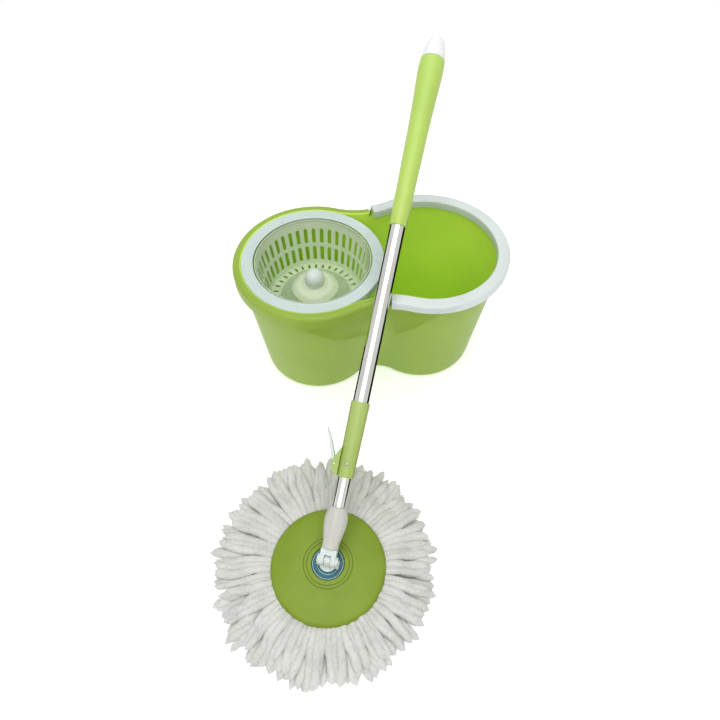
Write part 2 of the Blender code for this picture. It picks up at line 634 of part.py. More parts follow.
def make_fork(white, steel, pole):
    inner = LUG_WIDTH / 2 + 2 * GAP
    outer = inner + FORK_EAR
    neck = FORK_NECK
    side = arc((0, 0), FORK_EAR_R, pi, tau, 12)
    wide, narrow = FORK_EAR_R + FORK_FLARE, FORK_EAR_R - FORK_FLARE
    side += [(wide, neck - 6 * FORK_FLARE), (narrow, neck), (-narrow, neck), (-wide, neck - 6 * FORK_FLARE)]
    blank = turned(plate(side, -outer, outer), Matrix.Rotation(-pi / 2, 4, "Z"))
    fork = add_object("swivel_fork", blank, white, pole)
    beyond = 2 * FORK_EAR_R
    boolean(fork, box((-inner, -beyond, -beyond), (inner, beyond, LUG_R + 5 * GAP)))
    boolean(fork, rod(FORK_STEM_R, neck - OVERLAP, FORK_STEM_TOP), "UNION")
    for sign in (-1, 1):
        low, high = sorted((sign * (outer - OVERLAP), sign * (outer + FORK_BOSS)))
        boolean(fork, turned(rod(FORK_EAR_R * 0.8, low, high), ALONG_X), "UNION")
    reach = outer + FORK_BOSS + OVERLAP
    boolean(fork, turned(rod(FORK_PIN_R + GAP, -reach, reach), ALONG_X))
    end = outer + FORK_BOSS - GAP
    add_object("fork_pin", turned(rod(FORK_PIN_R, -end, end), ALONG_X), steel, pole)


def make_knuckle(white, pole):
    """The bulb over the fork's stem: (share of its length, radius beyond the tube)."""
    low = FORK_NECK + GAP
    stem, tube_r = FORK_STEM_R + GAP, LOWER_R + GAP
    bulb = [(0.0, 0.0021), (0.02, 0.0027), (0.14, 0.0029), (0.30, 0.0049), (0.515, 0.0067), (0.66, 0.0073),
            (0.785, 0.0068), (0.89, 0.0054), (0.97, 0.0033), (1.0, 0.0021)]
    profile = [(stem, low)]
    profile += [(LOWER_R + out, low + (KNUCKLE_TOP - low) * share) for share, out in bulb]
    profile += [(tube_r, KNUCKLE_TOP), (tube_r, LOWER_FROM - GAP), (0, LOWER_FROM - GAP),
                (0, FORK_STEM_TOP + GAP), (stem, FORK_STEM_TOP + GAP)]
    add_object("knuckle", lathe(profile), white, pole)


def make_lower_tube(steel, nylon, pole):
    bore = LOWER_R - TUBE_WALL
    add_object("lower_tube", tube(bore, LOWER_R, LOWER_FROM, LOWER_TO), steel, pole)
    outer, sleeve = UPPER_R - TUBE_WALL - GAP, LOWER_R + GAP
    eye = hypot(BAR_WIDTH, BAR_THICK) / 2 + 2 * GAP
    guide = [(sleeve, GUIDE_FROM), (outer, GUIDE_FROM), (outer, GUIDE_TO), (eye, GUIDE_TO),
             (eye, LOWER_TO + GAP), (sleeve, LOWER_TO + GAP)]
    add_object("guide_bush", lathe(guide), nylon, pole)
    seat_top = NUT_FROM - GAP
    seat = tube(eye, bore - GAP, seat_top - SEAT_THICK, seat_top, COARSE)
    add_object("nut_seat", seat, nylon, pole)


def make_drive_nut(brass, axis):
    """The nut that the twisted bar runs through; its slot follows the bar's angle there."""
    bore = LOWER_R - TUBE_WALL - GAP
    nut = add_object("drive_nut", rod(bore, NUT_FROM, NUT_FROM + NUT_THICK, COARSE), brass, axis)
    half_w, half_t = BAR_WIDTH / 2 + NUT_SLOT_CLEAR, BAR_THICK / 2 + NUT_SLOT_CLEAR
    slot = box((-half_w, -half_t, NUT_FROM - OVERLAP), (half_w, half_t, NUT_FROM + NUT_THICK + OVERLAP))
    turn = Matrix.Rotation(bar_angle(NUT_FROM + NUT_THICK / 2), 4, "Z")
    boolean(nut, turned(slot, turn))


def bar_angle(station):
    """How far the twisted bar has turned at a station."""
    return tau * (station - BAR_FROM) / BAR_LEAD


def make_twist_bar(steel, nylon, pole):
    steps = ceil((BAR_TO - BAR_FROM) / BAR_LEAD * BAR_STEPS)
    corners = [(BAR_WIDTH / 2, BAR_THICK / 2), (-BAR_WIDTH / 2, BAR_THICK / 2),
               (-BAR_WIDTH / 2, -BAR_THICK / 2), (BAR_WIDTH / 2, -BAR_THICK / 2)]
    rings = []
    for i in range(steps + 1):
        station = BAR_FROM + (BAR_TO - BAR_FROM) * i / steps
        turn = bar_angle(station)
        rings.append([(x * cos(turn) - y * sin(turn), x * sin(turn) + y * cos(turn), station)
                      for x, y in corners])
    add_object("twist_bar", loft(rings), steel, pole, smooth=30)
    bore = UPPER_R - TUBE_WALL - GAP
    socket = hypot(BAR_WIDTH, BAR_THICK) / 2 + GAP
    plug = [(0, BAR_TO + GAP), (socket, BAR_TO + GAP), (socket, ANCHOR_FROM), (bore, ANCHOR_FROM),
            (bore, UPPER_TO - GAP), (0, UPPER_TO - GAP)]
    add_object("bar_anchor", lathe(plug, COARSE), nylon, pole)


def make_collar(green, nylon, steel, pole):
    """The clamp collar on the upper tube's foot, with its bush, lever pin and screw."""
    lower, upper, bush_r = LOWER_R + GAP, UPPER_R + GAP, CLAMP_BUSH_R
    step, floor = UPPER_FROM - GAP, COLLAR_FROM + COLLAR_LIP
    profile = [
        (lower, COLLAR_FROM), (UPPER_R - GAP, COLLAR_FROM), (UPPER_R + GAP, COLLAR_FROM + OVERLAP),
        (UPPER_R + 0.0012, UPPER_FROM), (UPPER_R + 0.0019, COLLAR_TO - COLLAR_LIP), (UPPER_R + 0.0014, COLLAR_TO),
        (upper, COLLAR_TO), (upper, step), (bush_r + GAP, step), (bush_r + GAP, floor), (lower, floor),
    ]
    collar = add_object("clamp_collar", lathe(profile), green, pole)
    near, far = -UPPER_R - GAP, -LEVER_OUT - EAR_BEYOND
    side = [(near + 2 * GAP, COLLAR_FROM + OVERLAP), (near - 0.0022, COLLAR_FROM + COLLAR_LIP), (far + 0.003, LEVER_AT - 0.0085),
            (far, LEVER_AT - 0.004), (far, LEVER_AT + 0.003), (far + 0.002, LEVER_AT + 0.006),
            (near - 0.0032, LEVER_AT + 0.019), (near, LEVER_AT + 0.023)]
    half = LEVER_WIDTH / 2 + GAP
    ear = half + EAR_THICK
    boolean(collar, plate(side, -ear, ear), "UNION")
    cam_room = LEVER_OUT - LEVER_HUB_R - GAP
    slot = box((far - OVERLAP, -half, LEVER_AT - LEVER_HUB_R - 4 * GAP), (-cam_room, half, LEVER_AT + 0.03))
    boolean(collar, slot)
    at_lever = Matrix.Translation((-LEVER_OUT, 0, LEVER_AT)) @ ALONG_Y
    reach = ear + OVERLAP
    boolean(collar, turned(rod(LEVER_PIN_R + GAP, -reach, reach, COARSE), at_lever))
    at_screw = Matrix.Translation((0, 0, SCREW_AT)) @ ALONG_Y
    boolean(collar, turned(rod(SCREW_R + GAP, -ear - LEVER_OUT, -bush_r, COARSE), at_screw))
    bush = tube(lower, bush_r, floor + GAP, step - GAP)
    add_object("clamp_bush", bush, nylon, pole)
    pin = turned(rod(LEVER_PIN_R, -ear, ear, COARSE), at_lever)
    add_object("lever_pin", pin, steel, pole)
    seat = UPPER_R + 0.0012 + GAP
    screw = [(0, -seat - 0.0012), (SCREW_R, -seat - 0.0010), (SCREW_HEAD_R, -seat - GAP), (SCREW_HEAD_R, -seat),
             (SCREW_R, -seat), (SCREW_R, -bush_r - GAP), (0, -bush_r - GAP)]
    add_object("clamp_screw", turned(lathe(screw, COARSE), at_screw), steel, pole)


def make_upper_pole(steel, green, white, pole):
    """The upper tube with its grip and cap: (share of the length, radius beyond the tube)."""
    bore = UPPER_R - TUBE_WALL
    add_object("upper_tube", tube(bore, UPPER_R, UPPER_FROM, UPPER_TO), steel, pole)
    hole, length = UPPER_R + GAP, GRIP_TO - GRIP_FROM
    swell = [(0.0, 0.0014), (0.008, 0.0021), (0.068, 0.0021), (0.227, 0.00245), (0.406, 0.00335),
             (0.586, 0.00415), (0.765, 0.0058), (0.865, 0.0071), (0.924, 0.0078), (0.968, 0.0077), (1.0, 0.0070)]
    grip = [(hole, GRIP_FROM)]
    grip += [(UPPER_R + out, GRIP_FROM + length * share) for share, out in swell] + [(hole, GRIP_TO)]
    add_object("grip", lathe(grip), green, pole)
    foot, widest = GRIP_TO + GAP, UPPER_R + 0.0067
    dome = [(1.0, 0.0), (0.983, 0.11), (0.904, 0.32), (0.802, 0.54), (0.70, 0.757), (0.565, 0.905), (0.34, 0.978)]
    cap = [(0, UPPER_TO + GAP), (UPPER_R, UPPER_TO + GAP), (UPPER_R, foot)]
    cap += [(widest * out, foot + (CAP_TO - foot) * share) for out, share in dome] + [(0, CAP_TO)]
    add_object("end_cap", lathe(cap), white, pole)


def make_lever(white, axis):
    """The cam lever, in its own frame: its pin at the origin and its blade along +Z."""
    blade = arc((0, 0), LEVER_HUB_R, radians(60), radians(-240), 12)
    length, thick = LEVER_LENGTH, LEVER_THICK
    blade += [(-thick * 0.9, length * 0.32), (-thick * 0.63, length * 0.6), (-thick * 0.73, length),
              (-thick * 0.2, length), (thick * 0.57, length * 0.6), (thick * 0.5, length * 0.32)]
    half = LEVER_WIDTH / 2
    lever = add_object("lock_lever", plate(blade, -half, half), white, axis)
    hole = rod(LEVER_PIN_R + GAP, -half - OVERLAP, half + OVERLAP, COARSE)
    boolean(lever, turned(hole, ALONG_Y))


# ---------------------------------------------------------------- assembly

def clear_scene():
    for item in list(bpy.data.objects):
        bpy.data.objects.remove(item, do_unlink=True)


def main():
    clear_scene()
    green = material("green_plastic", (0.37, 0.55, 0.11), 0.38)
    pole_green = material("green_grip", (0.50, 0.68, 0.20), 0.42)
    white = material("white_plastic", (0.82, 0.83, 0.82), 0.35)
    clear = material("frosted_plastic", (0.80, 0.86, 0.82), 0.30, alpha=0.75)
    steel = material("steel_tube", (0.75, 0.75, 0.74), 0.14, metallic=1.0)
    pin_steel = material("pin_steel", (0.60, 0.60, 0.60), 0.30, metallic=1.0)
    brass = material("brass", (0.78, 0.60, 0.28), 0.30, metallic=1.0)
    nylon = material("nylon", (0.55, 0.56, 0.55), 0.50)
    teal = material("teal_badge", (0.01, 0.13, 0.17), 0.35)
    cloth = material("microfibre", (0.80, 0.81, 0.76), 0.95)

    root = add_axis("bucket_frame", Matrix.Identity(4))
    make_bucket(green, root)
    make_splash_ring(white, root)
    make_spindle(green, pin_steel, brass, root)

    bail_axis = add_axis("bail_axis", Matrix.Translation((BAIL_PIVOT_X, 0, bail_pivot_z())), root)
    bpy.context.view_layer.update()
    make_bail(white, bail_axis, root, pin_steel)

    at_basket = Matrix.Translation((-LOBE_X, 0, 0))
    lift_axis = add_axis("basket_lift_axis", at_basket, root)
    make_basket_bush(brass, lift_axis)
    spin_axis = add_axis("basket_spin_axis", Matrix.Identity(4), lift_axis)
    make_basket(clear, spin_axis)
    make_knob(white, spin_axis)

    hub_axis = add_axis("mop_hub_axis", Matrix.Translation((MOP_X, MOP_Y, 0)), root)
    make_hub(white, pin_steel, hub_axis)
    disc_axis = add_axis("disc_spin_axis", Matrix.Identity(4), hub_axis)
    make_mop_disc(green, disc_axis)
    make_head_trim(teal, white, cloth, disc_axis)

    pole = add_axis("handle_tilt_axis", pole_matrix())
    make_fork(white, pin_steel, pole)
    make_knuckle(white, pole)
    make_lower_tube(steel, nylon, pole)
    nut_axis = add_axis("nut_axis", Matrix.Identity(4), pole)
    make_drive_nut(brass, nut_axis)

    slide = add_axis("pole_slide_axis", Matrix.Identity(4), pole)
    make_twist_bar(pin_steel, nylon, slide)
    make_upper_pole(steel, pole_green, white, slide)
    make_collar(pole_green, nylon, pin_steel, slide)
    at_lever = Matrix.Translation((-LEVER_OUT, 0, LEVER_AT)) @ Matrix.Rotation(-LEVER_OPEN, 4, "Y")
    make_lever(white, add_axis("lever_axis", at_lever, slide))


main()
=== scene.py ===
"""Looks of a hand-press spin mop and its figure-eight bucket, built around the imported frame.

Every visible piece is modelled again at full detail in the place of its CAD solid, rides on the same
body and gets a procedural finish. The hidden pieces keep their CAD solids and get finishes too.
"""

import json
import logging
import random
from collections.abc import Sequence
from dataclasses import dataclass, field
from enum import Enum
from math import acos, atan2, cos, hypot, pi, radians, sin, sqrt, tau
from typing import NamedTuple

import bmesh
import bpy
from mathutils import Matrix, Vector, noise


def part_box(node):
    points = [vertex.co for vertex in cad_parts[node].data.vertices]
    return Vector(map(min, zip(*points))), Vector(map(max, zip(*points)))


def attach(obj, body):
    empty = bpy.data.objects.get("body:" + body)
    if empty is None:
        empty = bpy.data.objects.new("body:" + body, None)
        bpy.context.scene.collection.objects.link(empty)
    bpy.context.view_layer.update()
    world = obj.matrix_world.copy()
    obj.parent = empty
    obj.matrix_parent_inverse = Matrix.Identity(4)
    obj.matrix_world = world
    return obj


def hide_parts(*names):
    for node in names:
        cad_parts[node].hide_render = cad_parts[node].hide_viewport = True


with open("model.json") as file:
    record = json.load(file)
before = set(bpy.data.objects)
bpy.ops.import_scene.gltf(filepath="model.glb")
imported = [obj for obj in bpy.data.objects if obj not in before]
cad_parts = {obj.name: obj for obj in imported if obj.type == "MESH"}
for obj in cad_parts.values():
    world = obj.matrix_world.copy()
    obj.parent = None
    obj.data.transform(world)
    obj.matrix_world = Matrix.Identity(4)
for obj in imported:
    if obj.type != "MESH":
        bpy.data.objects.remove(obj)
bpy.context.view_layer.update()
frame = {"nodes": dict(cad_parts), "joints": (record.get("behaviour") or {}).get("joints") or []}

LOG = logging.getLogger("spin_mop")
Point = tuple[float, float]
Place = tuple[float, float, float]
Piece = bpy.types.Object
BMesh = bmesh.types.BMesh
Socket = bpy.types.NodeSocket
Shade = tuple[int, int, int]
ROUND_STEPS = 96
# Radii of the disc's two moulded grooves; the disc's finish darkens them as painted shade.
GROOVE_RADII = (0.0293, 0.0337)
BADGE_RADIUS = 0.0225
TILT_HOLE = 0.0028
SMALL_HOLE = 0.0018


class Body(str, Enum):
    """The CAD bodies that the visible pieces ride on."""

    BUCKET = "bucket"
    BAIL = "bail"
    BASKET = "basket"
    HUB = "mop_hub"
    HEAD = "mop_head"
    LOWER = "lower_pole"
    UPPER = "upper_pole"
    LEVER = "lever"


class Slot(str, Enum):
    """The record's material slots."""

    GREEN = "green_plastic"
    GRIP = "green_grip"
    WHITE = "white_plastic"
    FROSTED = "frosted_plastic"
    TUBE = "steel_tube"
    STEEL = "pin_steel"
    BRASS = "brass"
    NYLON = "nylon"
    TEAL = "teal_badge"
    CLOTH = "microfibre"


# ---------------------------------------------------------------- shaders


def srgb(red: int, green: int, blue: int) -> tuple[float, float, float, float]:
    """Turns a display colour into the linear colour that shaders read.

    Args:
        red: Red, from 0 to 255.
        green: Green, from 0 to 255.
        blue: Blue, from 0 to 255.

    Returns:
        The linear colour with alpha 1.
    """

    def linear(value: float) -> float:
        """One channel, made linear."""
        return value / 12.92 if value <= 0.04045 else ((value + 0.055) / 1.055) ** 2.4

    return (*[linear(channel / 255) for channel in (red, green, blue)], 1.0)


class ShaderBench:
    """A Principled material under construction, with short calls for the nodes it uses."""

    def __init__(self, name: str) -> None:
        """Starts a material with this name and one Principled shader."""
        self.material = bpy.data.materials.new(name)
        self.material.use_nodes = True
        self.tree = self.material.node_tree
        self.shader = self.tree.nodes["Principled BSDF"]
        self.coords = self.tree.nodes.new("ShaderNodeTexCoord").outputs["Object"]

    def set(self, **values: object) -> None:
        """Sets the shader's own sockets; a name's underscores stand for spaces."""
        for key, value in values.items():
            self.shader.inputs[key.replace("_", " ")].default_value = value

    def join(self, source: Socket, target: str) -> None:
        """Links a socket to one of the shader's inputs."""
        self.tree.links.new(source, self.shader.inputs[target])

    def node(self, kind: str, out: str | int, inputs: dict, **settings: str) -> Socket:
        """Adds a node; in its inputs sockets are linked and all other values are set.

        Args:
            kind: The node's type, without its first word.
            out: The output to return.
            inputs: What each input gets.
            **settings: The node's own settings.

        Returns:
            The output socket.
        """
        made = self.tree.nodes.new("ShaderNode" + kind)
        for key, value in settings.items():
            setattr(made, key, value)
        for key, value in inputs.items():
            if isinstance(value, Socket):
                self.tree.links.new(value, made.inputs[key])
            else:
                made.inputs[key].default_value = value
        return made.outputs[out]

    def place(self, turn: Matrix, centre: Vector) -> None:
        """Reads object coordinates in a piece's own frame from now on.

        Args:
            turn: The piece's frame in the row frame, as a rotation.
            centre: The piece's origin in the row frame.
        """
        values = {"Vector": self.coords, "Location": centre, "Rotation": turn.to_euler()}
        self.coords = self.node("Mapping", "Vector", values, vector_type="TEXTURE")

    def stretched(self, stretch: Sequence[float] | None) -> Socket:
        """Returns the coordinates scaled along each axis, or as they are."""
        if stretch is None:
            return self.coords
        return self.node("Mapping", "Vector", {"Vector": self.coords, "Scale": stretch})

    def noise(self, scale: float, detail: float = 3.0, stretch: Sequence[float] | None = None,
              roughness: float = 0.5) -> Socket:
        """Adds a noise texture.

        Args:
            scale: Features per metre.
            detail: Octaves.
            stretch: Scale along each axis, or None for an even grain.
            roughness: How strong the fine octaves are.

        Returns:
            Its factor socket.
        """
        return self.node("TexNoise", "Fac", {"Vector": self.stretched(stretch), "Scale": scale,
                                             "Detail": detail, "Roughness": roughness})

    def cells(self, scale: float) -> Socket:
        """Adds a smooth cell texture and returns its distance socket."""
        values = {"Vector": self.coords, "Scale": scale}
        return self.node("TexVoronoi", "Distance", values, feature="SMOOTH_F1")

    def remap(self, source: Socket, span: Point, result: Point) -> Socket:
        """Maps a span of values onto another, clamped."""
        return self.node("MapRange", "Result", {"Value": source, "From Min": span[0], "From Max": span[1],
                                                "To Min": result[0], "To Max": result[1]})

    def sum(self, first: Socket, second: Socket, share: float) -> Socket:
        """Adds a share of the second value to the first."""
        return self.node("Math", "Value", {0: second, 1: share, 2: first}, operation="MULTIPLY_ADD")

    def blend(self, factor: Socket, low: Sequence[float] | Socket, high: Sequence[float]) -> Socket:
        """Mixes a colour or an earlier colour's socket with another colour by a factor."""
        return self.node("Mix", 2, {0: factor, 6: low, 7: high}, data_type="RGBA")

    def span(self, centre: Sequence[float]) -> Socket:
        """Returns the distance from an upright axis through this centre."""
        self.place(Matrix.Identity(3), Vector(centre))
        return self.node("VectorMath", "Value", {0: self.stretched((1.0, 1.0, 0.0))}, operation="LENGTH")

    def near(self, source: Socket, value: float, within: float) -> Socket:
        """Returns 1 where a value lies this near to another, and 0 elsewhere."""
        return self.node("Math", "Value", {0: source, 1: value, 2: within}, operation="COMPARE")

    def bump(self, height: Socket, depth: float, strength: float = 1.0) -> None:
        """Raises the surface by a height texture, over any earlier one; depth is in metres."""
        values = {"Height": height, "Distance": depth, "Strength": strength}
        before = self.shader.inputs["Normal"].links
        if before:
            values["Normal"] = before[0].from_socket
        self.join(self.node("Bump", "Normal", values), "Normal")


class Finish(NamedTuple):
    """A finished material and the record's slot that it belongs to."""

    material: bpy.types.Material
    slot: Slot


@dataclass(frozen=True)
class Recipe:
    """What every finish starts from."""

    name: str
    slot: Slot


@dataclass(frozen=True)
class MouldedPlastic(Recipe):
    """Injection-moulded plastic: a colour that drifts a little, fine grain and faint handling marks."""

    colour: Shade
    drift: Shade
    roughness: float = 0.34
    spread: float = 0.10
    grain: float = 1400.0
    grain_depth: float = 0.00004
    flow: float = 9.0
    gloss: float = 0.4
    shine: float = 0.0
    glow: float = 0.0
    rings: tuple[float, ...] = ()
    groove_shade_colour: Shade = (84, 92, 40)
    ring_half: float = 0.00035
    speck_scale: float = 420.0
    rub_scale: float = 60.0
    wave_scale: float = 38.0
    wave_depth: float = 0.00025
    centre: Place = (0.0, 0.0, 0.0)

    def make(self) -> Finish:
        """Builds the material.

        Returns:
            The material with its slot.
        """
        bench = ShaderBench(self.name)
        clouds = bench.noise(self.flow, 4.0)
        clouds = bench.remap(clouds, (0.35, 0.68), (0.0, 1.0))
        colour = bench.blend(clouds, srgb(*self.colour), srgb(*self.drift))
        specks = bench.remap(bench.noise(self.speck_scale, 2.0), (0.66, 0.80), (0.0, 0.16))
        colour = bench.blend(specks, colour, srgb(*self.drift))
        # Darker lines at these radii: painted shade in the disc's grooves.
        if self.rings:
            span = bench.span(self.centre)
            for radius in self.rings:
                groove_shade = bench.remap(bench.near(span, radius, self.ring_half), (0.0, 1.0), (0.0, 0.75))
                colour = bench.blend(groove_shade, colour, srgb(*self.groove_shade_colour))
        bench.join(colour, "Base Color")
        rubbed = bench.noise(self.rub_scale, 5.0, roughness=0.6)
        low, high = self.roughness - self.spread / 2, self.roughness + self.spread / 2
        bench.join(bench.remap(rubbed, (0.35, 0.65), (low, high)), "Roughness")
        bench.bump(bench.noise(self.grain, 2.0), self.grain_depth)
        bench.bump(bench.noise(self.wave_scale, 2.0), self.wave_depth, 0.35)
        bench.set(IOR=1.5, Coat_Weight=self.shine, Coat_Roughness=0.12, Specular_IOR_Level=self.gloss,
                  Subsurface_Weight=self.glow, Subsurface_Radius=(0.005, 0.006, 0.003), Subsurface_Scale=1.0)
        return Finish(bench.material, self.slot)


@dataclass(frozen=True)
class FrostedPlastic(Recipe):
    """Milky plastic that lets some light through, for the spin basket."""

    colour: Shade
    drift: Shade
    clear: float = 0.10

    def make(self) -> Finish:
        """Builds the material.

        Returns:
            The material with its slot.
        """
        bench = ShaderBench(self.name)
        clouds = bench.remap(bench.noise(24.0, 4.0), (0.35, 0.65), (0.0, 1.0))
        bench.join(bench.blend(clouds, srgb(*self.colour), srgb(*self.drift)), "Base Color")
        bench.join(bench.remap(bench.noise(160.0, 4.0), (0.3, 0.7), (0.26, 0.42)), "Roughness")
        bench.bump(bench.noise(1100.0, 2.0), 0.00005)
        bench.set(IOR=1.46, Transmission_Weight=self.clear, Subsurface_Weight=0.6,
                  Subsurface_Radius=(0.006, 0.007, 0.006), Subsurface_Scale=1.0)
        return Finish(bench.material, self.slot)


@dataclass(frozen=True)
class DrawnSteel(Recipe):
    """Metal with fine lines along its length, for tubes, pins and turned pieces."""

    colour: Shade
    shade: Shade
    roughness: float = 0.12
    lines: float = 900.0
    line_depth: float = 0.000012
    turn: Matrix = field(default_factory=lambda: Matrix.Identity(3))
    centre: Place = (0.0, 0.0, 0.0)

    def make(self) -> Finish:
        """Builds the material.

        Returns:
            The material with its slot.
        """
        bench = ShaderBench(self.name)
        bench.place(self.turn, Vector(self.centre))
        drawn = bench.noise(self.lines, 4.0, stretch=(1.0, 1.0, 0.015))
        smears = bench.noise(26.0, 5.0, stretch=(1.0, 1.0, 0.35))
        smeared = bench.remap(smears, (0.35, 0.7), (0.0, 1.0))
        bench.join(bench.blend(smeared, srgb(*self.colour), srgb(*self.shade)), "Base Color")
        mixed = bench.sum(smears, drawn, 0.5)
        bench.join(bench.remap(mixed, (0.5, 1.0), (self.roughness * 0.7, self.roughness * 1.8)), "Roughness")
        bench.bump(drawn, self.line_depth)
        bench.set(Metallic=1.0)
        return Finish(bench.material, self.slot)


@dataclass(frozen=True)
class Microfibre(Recipe):
    """Soft looped microfibre: matt, faintly mottled, with nubs and a bright fuzz at its edges."""

    colour: Shade
    shade: Shade
    nubs: float = 360.0
    nub_depth: float = 0.0011

    def make(self) -> Finish:
        """Builds the material.

        Returns:
            The material with its slot.
        """
        bench = ShaderBench(self.name)
        nubs = bench.cells(self.nubs)
        fuzz = bench.noise(1500.0, 3.0)
        patches = bench.noise(34.0, 4.0)
        worn = bench.remap(bench.sum(patches, nubs, 0.35), (0.45, 0.85), (0.0, 1.0))
        bench.join(bench.blend(worn, srgb(*self.colour), srgb(*self.shade)), "Base Color")
        bench.bump(nubs, self.nub_depth, 0.8)
        bench.bump(fuzz, 0.0004, 0.7)
        bench.set(Roughness=0.95, Sheen_Weight=0.35, Sheen_Roughness=0.4,
                  Subsurface_Weight=0.2, Subsurface_Radius=(0.005, 0.005, 0.0045), Subsurface_Scale=1.0)
        return Finish(bench.material, self.slot)


@dataclass(frozen=True)
class RingedBadge(Recipe):
    """A round badge with plain rings, darker towards its edge; it holds no lettering."""

    centre: Place
    radius: float
    deep: Shade
    bright: Shade
    line: Shade
    rings: Point = (0.66, 0.93)
    ring_half: float = 0.018

    def make(self) -> Finish:
        """Builds the material.

        Returns:
            The material with its slot.
        """
        bench = ShaderBench(self.name)
        span = bench.span(self.centre)
        edge = bench.remap(span, (self.radius * 0.55, self.radius * 0.98), (0.0, 1.0))
        colour = bench.blend(edge, srgb(*self.bright), srgb(*self.deep))
        for middle in self.rings:
            ring = bench.near(span, self.radius * middle, self.radius * self.ring_half)
            colour = bench.blend(ring, colour, srgb(*self.line))
        patches = bench.remap(bench.noise(150.0, 3.0), (0.45, 0.7), (0.0, 0.35))
        bench.join(bench.blend(patches, colour, srgb(*self.deep)), "Base Color")
        bench.join(bench.remap(bench.noise(90.0, 3.0), (0.3, 0.7), (0.22, 0.36)), "Roughness")
        bench.bump(bench.noise(900.0, 2.0), 0.00003)
        bench.set(Coat_Weight=0.15, Coat_Roughness=0.2, Specular_IOR_Level=0.35)
        return Finish(bench.material, self.slot)


# ---------------------------------------------------------------- shaping


def rounded(points: Sequence[Point], radius: float | Sequence[float], steps: int = 4,
            closed: bool = False) -> list[Point]:
    """Rounds the corners of a flat outline.

    Args:
        points: The outline's corners.
        radius: The corner radius, or one for each point; a corner takes at most 0.45 of its sides.
        steps: Segments of each corner.
        closed: Whether the outline runs round.

    Returns:
        The outline with an arc-like run of points at each corner.
    """
    count = len(points)
    radii = [radius] * count if isinstance(radius, (int, float)) else list(radius)
    made: list[Point] = []
    for i, (x, y) in enumerate(points):
        if radii[i] <= 0 or (not closed and i in (0, count - 1)):
            made.append((x, y))
            continue
        here = Vector((x, y))
        before, after = Vector(points[i - 1]) - here, Vector(points[(i + 1) % count]) - here
        reach = min(radii[i], 0.45 * before.length, 0.45 * after.length)
        start, end = here + before.normalized() * reach, here + after.normalized() * reach
        for step in range(steps + 1):
            t = step / steps
            made.append(tuple(start * (1 - t) ** 2 + here * 2 * t * (1 - t) + end * t**2))
    return made


def arc(centre: Point, radius: float, start: float, end: float, steps: int) -> list[Point]:
    """Returns points along an arc, both ends included; angles are in radians."""
    return [
        (centre[0] + radius * cos(start + (end - start) * i / steps),
         centre[1] + radius * sin(start + (end - start) * i / steps))
        for i in range(steps + 1)
    ]


